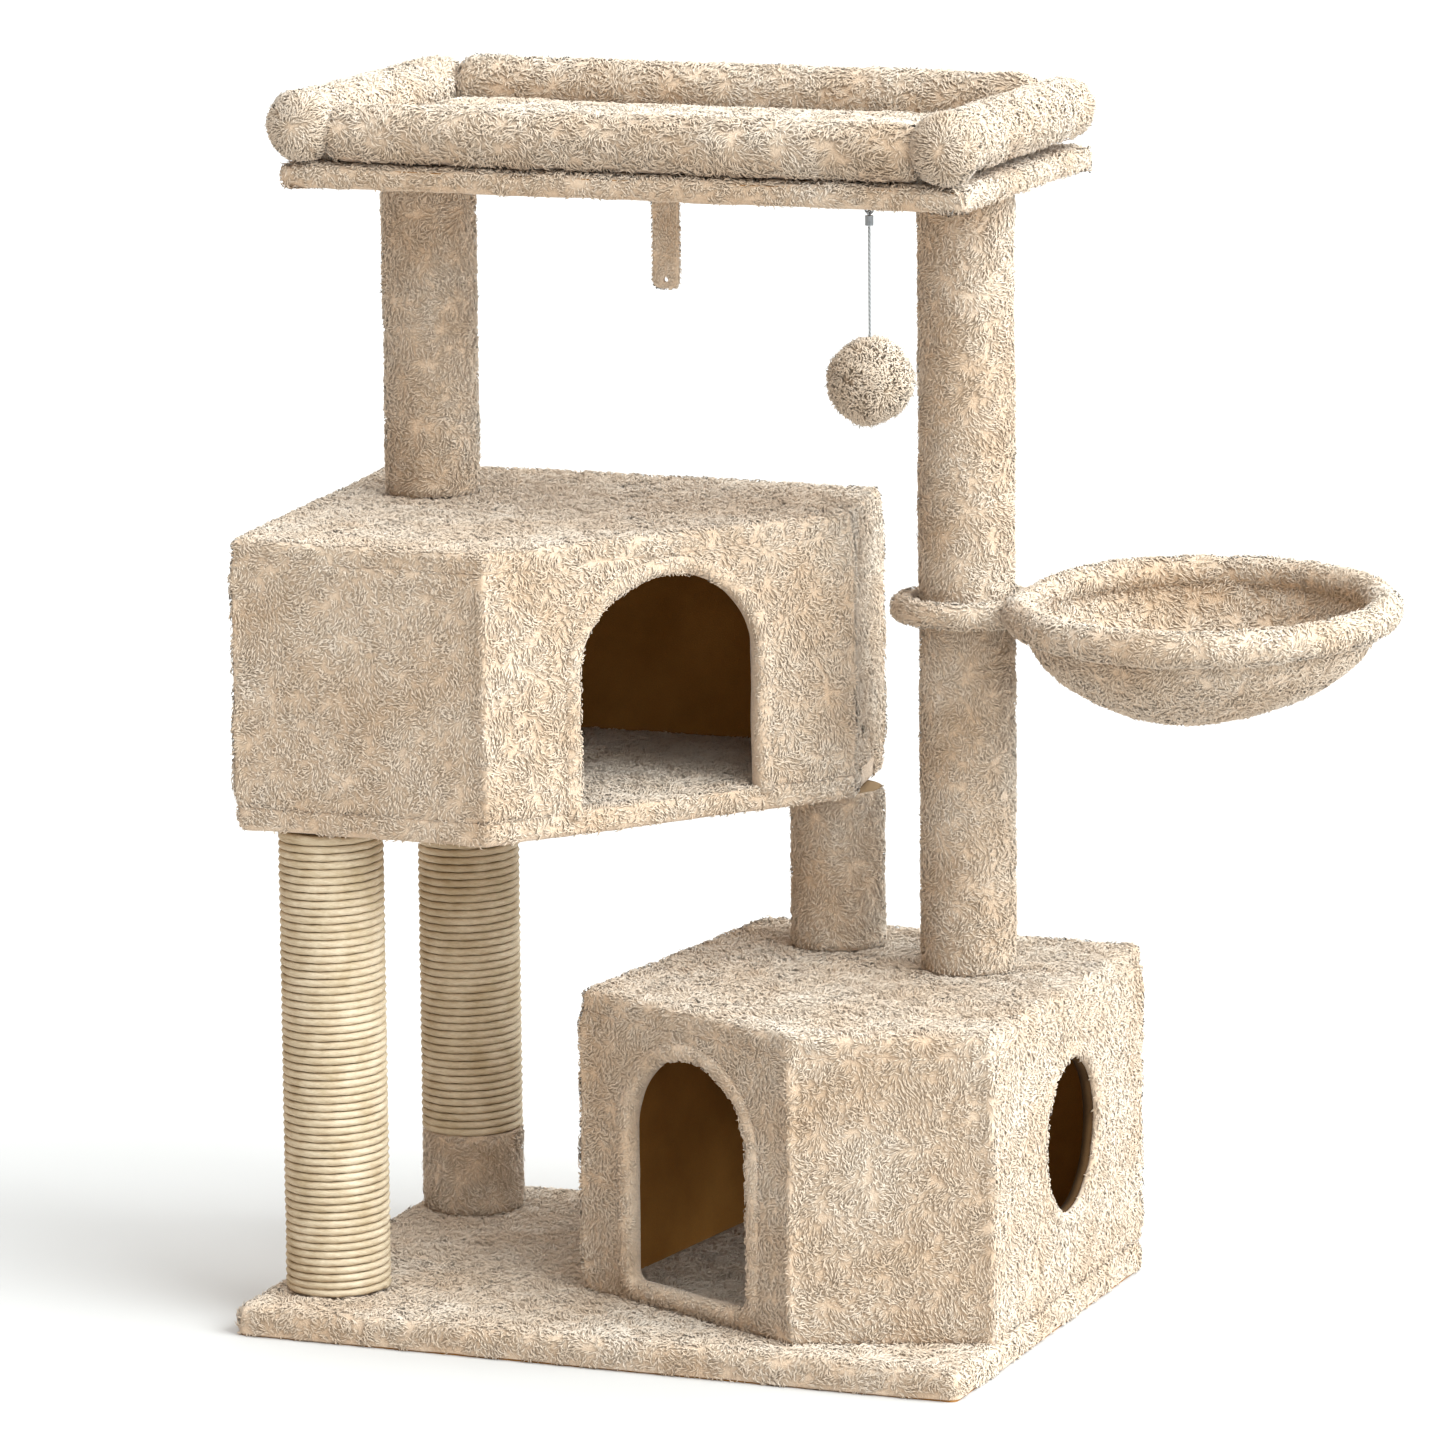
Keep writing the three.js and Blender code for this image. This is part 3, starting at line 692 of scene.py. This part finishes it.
def arch_path(opening, step=4 * MM):
    """(along, height, away-along, away-height) round an opening's edge; away points out of the opening."""
    if "radius" in opening:
        angles = np.arange(0, 2 * math.pi, step / opening["radius"])
        out = np.stack([np.cos(angles), np.sin(angles)], 1)
        return np.column_stack([[opening["along"], opening["height"]] + out * opening["radius"], out]), True
    half, rise = opening["width"] / 2, opening["rise"]
    spring = opening["bottom"] + opening["height"] - rise
    foot = opening["bottom"] if opening["sill"] else opening["bottom"] - 6 * MM
    rows = []
    if opening["sill"]:
        for x in lies(-half + 6 * MM, half - 6 * MM, 28):
            rows.append((x, foot, 0, -1))
        for a in lies(-80, -10, 4):
            c, s = math.cos(math.radians(a)), math.sin(math.radians(a))
            rows.append((half - 6 * MM + 6 * MM * c, foot + 6 * MM + 6 * MM * s, c, s))
    for z in np.arange(foot + (6 * MM if opening["sill"] else 0), spring, step):
        rows.append((half, z, 1, 0))
    for a in np.arange(0, math.pi + 1e-6, step / half):
        c, s = math.cos(a), math.sin(a)
        out = unit(np.array([c / half, s / rise]))
        rows.append((half * c, spring + rise * s, *out))
    for z in np.arange(foot + (6 * MM if opening["sill"] else 0), spring, step)[::-1]:
        rows.append((-half, z, -1, 0))
    if opening["sill"]:
        for a in lies(190, 260, 4):
            c, s = math.cos(math.radians(a)), math.sin(math.radians(a))
            rows.append((-half + 6 * MM + 6 * MM * c, foot + 6 * MM + 6 * MM * s, c, s))
    rows = np.array(rows, float)
    rows[:, 0] += opening["along"]
    return rows, opening["sill"]


def in_opening(opening, along, height, margin):
    """True where a point of the wall is in the opening widened by margin."""
    if "radius" in opening:
        return np.hypot(along - opening["along"], height - opening["height"]) < opening["radius"] + margin
    half, rise = opening["width"] / 2 + margin, opening["rise"] + margin
    spring = opening["bottom"] + opening["height"] - opening["rise"]
    x = np.abs(along - opening["along"])
    foot = opening["bottom"] - (margin if opening["sill"] else 50 * MM)
    square = (x < half) & (height < spring) & (height > foot)
    return square | ((height >= spring) & ((x / half) ** 2 + ((height - spring) / rise) ** 2 < 1))


# a hem's section: (away from the opening, out of the wall), in mm
DOOR_HEM = [(3.6, -13.6), (2.4, -12.6), (2.0, -8), (1.9, -4), (2.8, -0.8), (4.8, 1.0), (7.6, 1.7), (11, 1.3), (14.5, -0.4),
            (16, -3), (9, -3.8), (4.3, -4.1), (4.1, -4.6), (4.1, -9)]
LINING = [(2.4, -5.2), (2.4, -13.2), (4.2, -13.2), (4.2, -5.2)]
PORTHOLE_HEM = [(3.8, -5.6), (2.4, -5.4), (1.8, -4.4), (1.8, -2.6), (2.8, -0.8), (4.8, 0.6), (7.6, 1.0), (11, 0.4), (14, -1.2),
                (15, -3), (9, -3.8), (4.3, -4.1), (4.1, -4.6), (4.1, -5)]


def hem(name, corners, opening, section, seed):
    """The padded plush edge round an opening, with the lining that goes through the wall."""
    corner, along, out = wall_frame(corners, opening["wall"])
    rows, closed = arch_path(opening)
    rings = []
    for x, z, away_x, away_z in rows:
        edge = corner + along * x + UP * z
        away = along * away_x + UP * away_z
        rings.append([edge + away * m * MM + out * w * MM for m, w in section])
    points, faces = loft(np.array(rings), joined=closed, capped=not closed)
    skin = piece(name, points, faces, PLUSH_SKIN)
    soften(skin, fine=0.6 * MM, broad=0.5 * MM, seed=seed)
    inside = out @ corner

    def shown(p, n):
        return (n @ out > 0.25) & (p @ out - inside > -4 * MM)

    pile(skin, f"{name}_pile", seed + 1, lay=6 * MM, rise=1.6 * MM, keep=shown, fall=0.2)


def lining(name, corners, opening):
    """A band of very dark brown felt over the board's cut edge, painted as the shade of the dark inside seen through
    the porthole.
    """
    corner, along, out = wall_frame(corners, opening["wall"])
    rows, closed = arch_path(opening)
    rings = []
    for x, z, away_x, away_z in rows:
        edge = corner + along * x + UP * z
        rings.append([edge + (along * away_x + UP * away_z) * m * MM + out * w * MM for m, w in LINING])
    piece(name, *loft(np.array(rings), joined=closed), PORTHOLE_SHADE_FELT, slot="board")


def walls(prefix, openings, seed):
    """One plush cover round a condo's boards, with its openings cut out and a raised seam down each corner."""
    node_name = f"{prefix}_walls_plush_cover"
    low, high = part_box(node_name)
    corners = ordered_outline(node_name)
    heights = lies(low.z + 3 * MM, high.z - 3 * MM, int((high.z - low.z) / (4.5 * MM)))
    foot, head = low.z - 1.2 * MM, high.z + 0.2 * MM
    outer = [(PILE + 0.4 * MM, foot)] + [(PILE, z) for z in heights] + [(PILE + 0.4 * MM, head)]
    inner = [(4.1 * MM, z) for _, z in outer[::-1]]
    rings = [ring(corners, d, z, 5 * MM, spacing=3 * MM) for d, z in outer + inner]
    points, faces = loft(rings, joined=True)
    centres = points[np.array(faces)].mean(1)
    gone = np.zeros(len(faces), bool)
    for opening in openings:
        corner, along, out = wall_frame(corners, opening["wall"])
        near = np.abs((centres - corner) @ out) < 12 * MM
        gone |= near & in_opening(opening, (centres - corner) @ along, centres[:, 2], 4 * MM)
    faces = [f for f, cut in zip(faces, gone) if not cut]
    skin = piece(f"{prefix}_walls_plush", points, faces, PLUSH_SKIN, replaces=[node_name])
    soften(skin, seed=seed)

    def ridge(p, n):
        raised = np.zeros(len(p))
        for x, y in corners:
            raised += 3.4 * MM * np.exp(-(np.hypot(p[:, 0] - x, p[:, 1] - y) / (6 * MM)) ** 2)
        return raised * np.clip(np.minimum(p[:, 2] - foot, head - p[:, 2]) / (14 * MM), 0, 1)

    push(skin, ridge)
    middle = corners.mean(0)

    def shown(p, n):
        outward = ((p[:, :2] - middle) * n[:, :2]).sum(1) > 0
        for opening in openings:
            corner, along, out = wall_frame(corners, opening["wall"])
            near = np.abs((p - corner) @ out) < 12 * MM
            outward &= ~(near & in_opening(opening, (p - corner) @ along, p[:, 2], 10 * MM))
        return outward

    pile(skin, f"{prefix}_walls_pile", seed + 1, keep=shown)


def ordered_outline(node_name):
    """A condo's corners in the part's order, in which the first wall is the one that its openings count from."""
    corners = outline(node_name)
    first = {"lower_walls_plush_cover": (0.297, -0.133), "upper_walls_plush_cover": (-0.304, -0.188)}[node_name]
    start = np.argmin(np.hypot(*(corners - first).T))
    return np.roll(corners, -start, 0)


# ---------- posts ----------
def post_cover(node_name, name, seed, padding=0):
    """Plush round a post; padding makes it thicker than the part's sleeve."""
    low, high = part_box(node_name)
    x, y = (low.x + high.x) / 2, (low.y + high.y) / 2
    radius = (high.x - low.x) / 2 - PILE + 0.2 * MM + padding
    heights = lies(low.z, high.z, max(8, int((high.z - low.z) / (5 * MM))))
    turn = np.arange(56) * 2 * math.pi / 56
    seam = 1 - 0.035 * np.exp(-((turn - math.pi / 2) / 0.09) ** 2)
    circle = np.stack([np.cos(turn) * seam, np.sin(turn) * seam], 1)
    inner = 34.9 * MM
    rings = [np.column_stack([[x, y] + circle * radius, np.full(56, z)]) for z in heights]
    rings += [np.column_stack([[x, y] + circle * inner, np.full(56, z)]) for z in (high.z, low.z)]
    points, faces = loft(rings, joined=True)
    skin = piece(name, points, faces, PLUSH_SKIN, replaces=[node_name])
    wide = radius - 0.8 * MM
    outer = np.hypot(*(coordinates(skin)[:, :2] - (x, y)).T) > wide - 0.6 * MM
    push(skin, lambda p, n: outer * (0.5 * MM * lumps(p, 14 * MM, seed) + 0.5 * MM * lumps(p, 50 * MM, seed + 1)))

    def shown(p, n):
        return ((p[:, :2] - (x, y)) * n[:, :2]).sum(1) > 0

    pile(skin, f"{name}_pile", seed + 2, keep=shown)


def sisal(node_name, name, seed):
    """Sisal rope wound tightly round a post."""
    low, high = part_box(node_name)
    x, y = (low.x + high.x) / 2, (low.y + high.y) / 2
    wound = (high.x - low.x) / 2 - ROPE["radius"]
    turns = (high.z - low.z - 2 * ROPE["radius"]) / ROPE["pitch"]
    per_turn, sides = 60, 9
    t = np.arange(int(turns * per_turn) + 1) / per_turn
    angle = 2 * math.pi * t
    climb = np.clip(t - 0.8, 0, t[-1] - 1.6) * t[-1] / (t[-1] - 1.6)
    path = np.column_stack([x + wound * np.cos(angle), y + wound * np.sin(angle),
                            low.z + ROPE["radius"] + ROPE["pitch"] * climb])
    around = np.arange(sides) * 2 * math.pi / sides
    strand = np.cos(3 * (around[None, :] + t[:, None] * 2 * math.pi * 4.3))
    radius = ROPE["radius"] * (0.97 + 0.08 * strand + 0.05 * lumps(path, 9 * MM, seed)[:, None])
    outward = np.column_stack([np.cos(angle), np.sin(angle), np.zeros(len(angle))])
    rings = path[:, None] + radius[:, :, None] * (np.cos(around)[None, :, None] * outward[:, None]
                                                  + np.sin(around)[None, :, None] * UP)
    points, faces = loft(rings, capped=True)
    rope = piece(name, points, faces, SISAL, replaces=[node_name], slot="sisal")
    # Painted shade mask: low on the rope's side that faces the post and in the grooves between the strands.
    values = np.append((0.5 + 0.5 * np.cos(around)[None, :] + 0.26 * strand).ravel(), [0.5, 0.5])
    made = rope.data.attributes.new("strand", "FLOAT", "POINT")
    made.data.foreach_set("value", values.astype(np.float32))
    return rope


# ---------- padded pieces ----------
def stuffed(name, points, faces, node_name, cap, seed):
    """A closed plush case blown up by its filling until it pulls tight."""
    obj = piece(name, points, faces, PLUSH_SKIN, replaces=[node_name])
    bpy.context.view_layer.objects.active = obj
    remesh = obj.modifiers.new("remesh", "REMESH")
    remesh.mode = "VOXEL"
    remesh.voxel_size = 5 * MM
    bpy.ops.object.modifier_apply(modifier=remesh.name)
    push(obj, lambda p, n: 0.8 * MM * lumps(p, 30 * MM, seed))
    inflate(obj, cap)
    obj.data.shade_smooth()
    obj.data.materials.clear()
    obj.data.materials.append(PLUSH_SKIN)
    return obj


def inflate(obj, cap):
    scene = bpy.context.scene
    before = coordinates(obj)
    cloth = obj.modifiers.new("cloth", "CLOTH")
    cloth.settings.use_pressure = True
    cloth.settings.uniform_pressure_force = 4
    cloth.settings.effector_weights.gravity = 0
    for step in range(1, 21):
        scene.frame_set(step)
    puffed = obj.evaluated_get(bpy.context.evaluated_depsgraph_get())
    after = coordinates(puffed)
    obj.modifiers.remove(cloth)
    scene.frame_set(1)
    shift = after - before
    length = np.linalg.norm(shift, axis=1, keepdims=True)
    move(obj, before + shift * np.minimum(1, cap / np.maximum(length, 1e-9)))


def bolster(name, ends, radius, seed, square=False):
    """A stuffed roll between two ends; a square roll ends flat against its neighbours."""
    a, b = (np.array(end, float) for end in ends)
    length = np.linalg.norm(b - a)
    ahead = (b - a) / length
    cap_length = radius * (0.45 if square else 0.95)
    steps = np.concatenate([cap_length * (1 - np.cos(lies(0.12, math.pi / 2, 6))),
                            lies(cap_length, length - cap_length, 40)[1:-1],
                            length - cap_length * (1 - np.cos(lies(math.pi / 2, 0.12, 6)))])
    from_end = np.minimum(steps, length - steps)
    round_off = np.sqrt(np.clip(1 - (1 - np.minimum(from_end / cap_length, 1)) ** 2, 0.02, 1))
    path = a + ahead * steps[:, None]
    points, faces = loft(tube(path, radius * round_off, UP, 20), capped=True)
    return stuffed(f"{name}_plush", points, faces, name, 3 * MM, seed)


def tuft(name, centre, radius, facing, seed):
    """A fluffy round end, its locks combed out from the middle."""
    rows = []
    side = unit(np.cross(facing, UP))
    rise = np.cross(side, facing)
    for a in lies(0.05, math.pi * 0.62, 14):
        turn = np.arange(30) * 2 * math.pi / 30
        rows.append(centre + radius * (0.80 * math.cos(a) * facing + math.sin(a) * (
            np.outer(np.cos(turn), side) + np.outer(np.sin(turn), rise))))
    points, faces = loft(rows, capped=True)
    skin = piece(name, points, faces, PLUSH_SKIN)
    push(skin, lambda p, n: 1.2 * MM * lumps(p, 15 * MM, seed))

    def outwards(p, n):
        spread = p - centre
        return 0.7 * unit(spread - facing * (spread @ facing)[:, None]) + 1.1 * np.stack(
            [lumps(p, 11 * MM, seed + k) for k in range(3)], 1)

    pile(skin, f"{name}_pile", seed + 1, lay=7 * MM, rise=3.0 * MM, width=0.65 * MM, spacing=1.6 * MM, curl=0.6,
         comb=outwards)


def rest_on_board(obj):
    """Flattens a bolster where it lies on the perch; past the board's edge it hangs over a little."""
    low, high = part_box("perch_plush_cover")
    points = coordinates(obj)
    over = np.maximum.reduce([low.x - points[:, 0], points[:, 0] - high.x, low.y - points[:, 1]]) + 4 * MM
    floor = high.z + 0.3 * MM - np.maximum(over, 0) * 1.4
    points[:, 2] = np.maximum(points[:, 2], floor)
    move(obj, points)


def bolsters():
    """The stuffed rolls round the perch; the two side rolls end in tufts at the front."""
    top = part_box("perch_plush_cover")[1].z
    slack = 3 * MM + PILE
    side_radius = 28.5 * MM
    for side, seed in (("left", 43), ("right", 44)):
        low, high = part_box(f"perch_bolster_{side}")
        x = (low.x + high.x) / 2 + (2.5 * MM if side == "left" else -2.5 * MM)
        z = top + side_radius + 1.5 * MM
        ends = ((x, low.y + 26 * MM, z), (x, high.y - PILE, z))
        skin = bolster(f"perch_bolster_{side}", ends, side_radius - slack, seed)
        rest_on_board(skin)
        front = low.y + 22 * MM

        def shown(p, n, front=front):
            return (p[:, 1] > front) & (n[:, 2] > -0.85)

        pile(skin, f"perch_bolster_{side}_pile", seed + 100, keep=shown, fall=0.1, rise=2.4 * MM)
        tuft(f"perch_tuft_{side}", np.array([x, low.y + 25 * MM, z - 2 * MM]), 25.5 * MM, np.array([0.0, -1, 0]), seed + 4)
    for side, radius, y, z in (("front", 27 * MM, -0.0745, top + 21.5 * MM), ("back", 29 * MM, 0.178, top + 31 * MM)):
        low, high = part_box(f"perch_bolster_{side}")
        ends = ((low.x - 4 * MM, y, z), (high.x + 4 * MM, y, z))
        skin = bolster(f"perch_bolster_{side}", ends, radius - slack, 51, square=True)
        rest_on_board(skin)
        long = 11 * MM if side == "front" else 8.5 * MM
        pile(skin, f"perch_bolster_{side}_pile", 53 if side == "front" else 54, keep=lambda p, n: n[:, 2] > -0.85,
             fall=0.1, rise=2.4 * MM, lay=long)


def pad():
    low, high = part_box("perch_pad")
    wide, deep = 4.5 * MM, 3 * MM
    corners = np.array([(low.x - wide, low.y - deep), (high.x + wide, low.y - deep),
                        (high.x + wide, high.y + deep), (low.x - wide, high.y + deep)])
    profile = rounded_edge(low.z + 1 * MM, high.z + 2 * MM, 6 * MM, 7 * MM)
    points, faces = plate(corners, profile, 16 * MM)
    skin = stuffed("perch_pad_plush", points, faces, "perch_pad", 3 * MM, 61)
    pile(skin, "perch_pad_pile", 62, keep=lambda p, n: n[:, 2] > -0.2, fall=0.0)


# ---------- basket ----------
def circle_path(centre, radius, angles):
    return np.column_stack([centre[0] + radius * np.cos(angles), centre[1] + radius * np.sin(angles),
                            np.full(len(angles), centre[2])])


def tilt(points):
    """The basket leans forward a little on its loop, so its back rises; the loop's own height stays."""
    lean = 0.043 * (points[:, 1] - BASKET_POST[1]) + 2.5 * MM
    share = np.clip((points[:, 0] - BASKET_POST[0] - 30 * MM) / (40 * MM), 0, 1)
    points[:, 2] += lean * share
    return points


def basket():
    low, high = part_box("basket_ring_plush_cover")
    centre = np.array((low + high) / 2)
    tube_radius = (high.z - low.z) / 2
    ring_radius = (high.x - low.x) / 2 - tube_radius
    skin_radius = tube_radius - PILE + 2 * MM
    angles = np.arange(0, 2 * math.pi, 5 * MM / ring_radius)
    seams = np.radians([28, 100, 172, 244, 316])
    apart = np.abs((angles[:, None] - seams + math.pi) % (2 * math.pi) - math.pi).min(1) * ring_radius
    pinch = 1 - 0.16 * np.exp(-(apart / (4 * MM)) ** 2)
    pinch -= 2.6 * MM / skin_radius * np.exp(-((angles - math.pi) * ring_radius / (35 * MM)) ** 2)
    path = circle_path(centre, ring_radius, angles)
    points, faces = loft(tube(path, skin_radius * pinch, UP, 18, closed=True), joined=True)
    skin = piece("basket_ring_plush", tilt(points), faces, PLUSH_SKIN, "basket", ["basket_ring_plush_cover"])
    soften(skin, seed=71)
    pile(skin, "basket_ring_pile", 72, fall=0.15, keep=lambda p, n: np.hypot(
        p[:, 0] - BASKET_POST[0], p[:, 1] - BASKET_POST[1]) > 46 * MM)
    loop(skin_radius, ring_radius)
    bowl(centre, ring_radius)


def loop(ring_skin, ring_radius):
    """The plush loop that holds the basket on its post."""
    low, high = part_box("basket_loop_plush_cover")
    z = (low.z + high.z) / 2
    tube_radius = (high.z - low.z) / 2
    radius = (high.y - low.y) / 2 - tube_radius
    angles = lies(LOOP_MOUTH, 2 * math.pi - LOOP_MOUTH, 64)
    path = circle_path((*BASKET_POST, z), radius, angles)
    entry = np.array([(22, 4, 3), (11, 2, 1.5)]) * MM
    path = np.vstack([path[0] + entry, path, path[-1] + (entry * (1, -1, 1))[::-1]])
    points, faces = loft(tube(path, tube_radius - PILE, UP, 16), capped=True)
    skin = piece("basket_loop_plush", points, faces, PLUSH_SKIN, "basket", ["basket_loop_plush_cover"])
    soften(skin, seed=75)
    crease = z + 1.5 * MM
    push(skin, lambda p, n: -1.6 * MM * np.exp(-((p[:, 2] - crease) / (2 * MM)) ** 2)
         * (np.hypot(p[:, 0] - BASKET_POST[0], p[:, 1] - BASKET_POST[1]) > radius))
    pile(skin, "basket_loop_pile", 76, lay=7 * MM, fall=0.15)


def bowl(centre, rim):
    """A slack plush bowl sewn to the ring, drawn into soft puckers."""
    turn = np.arange(150) * 2 * math.pi / 150
    around = np.column_stack([np.cos(turn), np.sin(turn), np.zeros(150)])
    layers = []
    for thick in (0, 2.2 * MM):
        rows = []
        for a in lies(0.03, math.pi / 2 - 0.02, 30):
            slope = math.sin(a)
            puckers = (2.6 * MM * lumps(around * 3.2, 0.55, 81) + 1.0 * MM * lumps(around * 3.2, 0.2, 82)) * slope**2
            sag = 3 * MM * lumps(around * slope * 0.6, 0.35, 83) * (1 - slope**6)
            radius = (rim - 5 * MM) * slope + (puckers - thick) * slope
            depth = (BOWL_DEPTH - thick * 1.2 - 3 * MM) * math.cos(a)
            rows.append(np.column_stack([centre[0] - 6 * MM * math.cos(a) + radius * around[:, 0],
                                         centre[1] + radius * around[:, 1], centre[2] - depth - sag]))
        layers.append(rows)
    outer, inner = layers
    points, faces = loft(outer + inner[::-1], capped=True)
    skin = piece("basket_bowl_cloth", tilt(points), faces, PLUSH_SKIN, "basket", ["basket_bowl"])
    push(skin, lambda p, n: 0.5 * MM * lumps(p, 14 * MM, 84))
    piles = pile(skin, "basket_bowl_pile", 85, lay=7.5 * MM, fall=0.1)


# ---------- pom-pom and strap ----------
def pom_pom():
    low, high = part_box("pom_pom_ball")
    centre = np.array((low + high) / 2)
    exit_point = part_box("pom_pom_string")[1]
    body = 29 * MM
    rows = []
    for a in lies(0.06, math.pi - 0.06, 24):
        turn = np.arange(40) * 2 * math.pi / 40
        rows.append(centre + body * np.column_stack([math.sin(a) * np.cos(turn), math.sin(a) * np.sin(turn),
                                                     np.full(40, math.cos(a))]))
    points, faces = loft(rows[::-1], capped=True)
    ball = piece("pom_pom_ball_core", points, faces, PLUSH_SKIN, "pom_pom", ["pom_pom_ball"])
    push(ball, lambda p, n: 1.2 * MM * lumps(p, 16 * MM, 91))
    fluff = pile(ball, "pom_pom_ball_pile", 92, lay=6 * MM, rise=4.4 * MM, width=0.62 * MM, spacing=1.3 * MM, curl=0.6,
                 swirl=11 * MM, fall=0.2)
    middle = (centre[0], centre[1])
    line = bpy.data.curves.new("pom_pom_cord", "CURVE")
    line.dimensions = "3D"
    line.bevel_depth = 1 * MM
    line.bevel_resolution = 4
    line.use_fill_caps = True
    spline = line.splines.new("POLY")
    heights = lies(exit_point.z, centre[2], 16)
    spline.points.add(len(heights) - 1)
    for point, z in zip(spline.points, heights):
        point.co = (*middle, z, 1)
    line.materials.append(STRING)
    cord = bpy.data.objects.new("pom_pom_cord", line)
    bpy.context.scene.collection.objects.link(cord)
    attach(cord, "pom_pom")
    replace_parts(cord, "pom_pom_string")


def strap():
    """A short plush strap with a small hole near its end."""
    low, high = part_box("hanging_strap")
    x, y = (low.x + high.x) / 2, (low.y + high.y) / 2
    half, thick = (high.x - low.x) / 2 - 1.2 * MM, (high.y - low.y) / 2 - 1.2 * MM
    hole_z = low.z + STRAP_HOLE["height"]
    bend = 6 * MM
    edge = [(-half + bend - bend * math.sin(a), low.z + 1.2 * MM + bend - bend * math.cos(a)) for a in lies(0, math.pi / 2, 6)]
    edge = [(-px, pz) for px, pz in edge][::-1]
    left = [(-px, pz) for px, pz in edge][::-1]
    rim = [(half, z) for z in lies(high.z - 0.5 * MM, low.z + 9 * MM, 20)] + edge + left
    rim += [(-half, z) for z in lies(low.z + 9 * MM, high.z - 0.5 * MM, 20)]
    rim += [(px, high.z - 0.5 * MM) for px in lies(-half, half, 8)[1:-1]]
    rim = np.array(rim)
    angles = np.arctan2(rim[:, 1] - hole_z, rim[:, 0])
    hole = np.column_stack([STRAP_HOLE["radius"] * np.cos(angles), hole_z + STRAP_HOLE["radius"] * np.sin(angles)])

    def layer(share, depth):
        flat = hole + (rim - hole) * share
        return np.column_stack([x + flat[:, 0], np.full(len(flat), y + depth), flat[:, 1]])

    shares = [0, 0.06, 0.2, 0.4, 0.6, 0.8, 0.93]
    rings = [layer(s, -thick) for s in shares] + [layer(0.985, -thick * 0.6), layer(1.0, 0), layer(0.985, thick * 0.6)]
    rings += [layer(s, thick) for s in shares[::-1]]
    points, faces = loft(rings, joined=True)
    skin = piece("hanging_strap_plush", points, faces, PLUSH_SKIN, "strap", ["hanging_strap"])
    clear = 5.2 * MM

    def shown(p, n):
        return (np.hypot(p[:, 0] - x, p[:, 2] - hole_z) > clear) & (p[:, 2] < high.z - 1 * MM)

    pile(skin, "hanging_strap_pile", 96, lay=4 * MM, rise=1.3 * MM, width=0.65 * MM, spacing=2.1 * MM, keep=shown, fall=0.6)


# ---------- putting it together ----------
pom_pom()
strap()
base()
for condo, start in (("lower", 101), ("upper", 121)):
    roof(condo, start)
walls("lower", [LOWER_DOOR, PORTHOLE], 141)
walls("upper", [UPPER_DOOR], 151)
hem("lower_door_hem", ordered_outline("lower_walls_plush_cover"), LOWER_DOOR, DOOR_HEM, 161)
hem("lower_porthole_hem", ordered_outline("lower_walls_plush_cover"), PORTHOLE, PORTHOLE_HEM, 165)
lining("lower_porthole_lining", ordered_outline("lower_walls_plush_cover"), PORTHOLE)
hem("upper_door_hem", ordered_outline("upper_walls_plush_cover"), UPPER_DOOR, DOOR_HEM, 169)
floor_skin = wrapped("upper_floor", 171, 6 * MM, 1.5 * MM, 0.9 * MM)
pile(floor_skin, "upper_floor_pile", 173, keep=top_and_sides, fall=0.1)
perch_board()
bolsters()
pad()
post_cover("perch_left_post_plush_sleeve", "perch_left_post_plush", 201)
post_cover("perch_right_post_plush_sleeve", "perch_right_post_plush", 211)
post_cover("condo_right_post_plush_sleeve", "condo_right_post_plush", 221)
post_cover("condo_rear_post_foot_sleeve", "condo_rear_foot_plush", 231, 3 * MM)
sisal("condo_front_post_sisal_wrap", "condo_front_post_rope", 241)
sisal("condo_rear_post_sisal_wrap", "condo_rear_post_rope", 251)
basket()
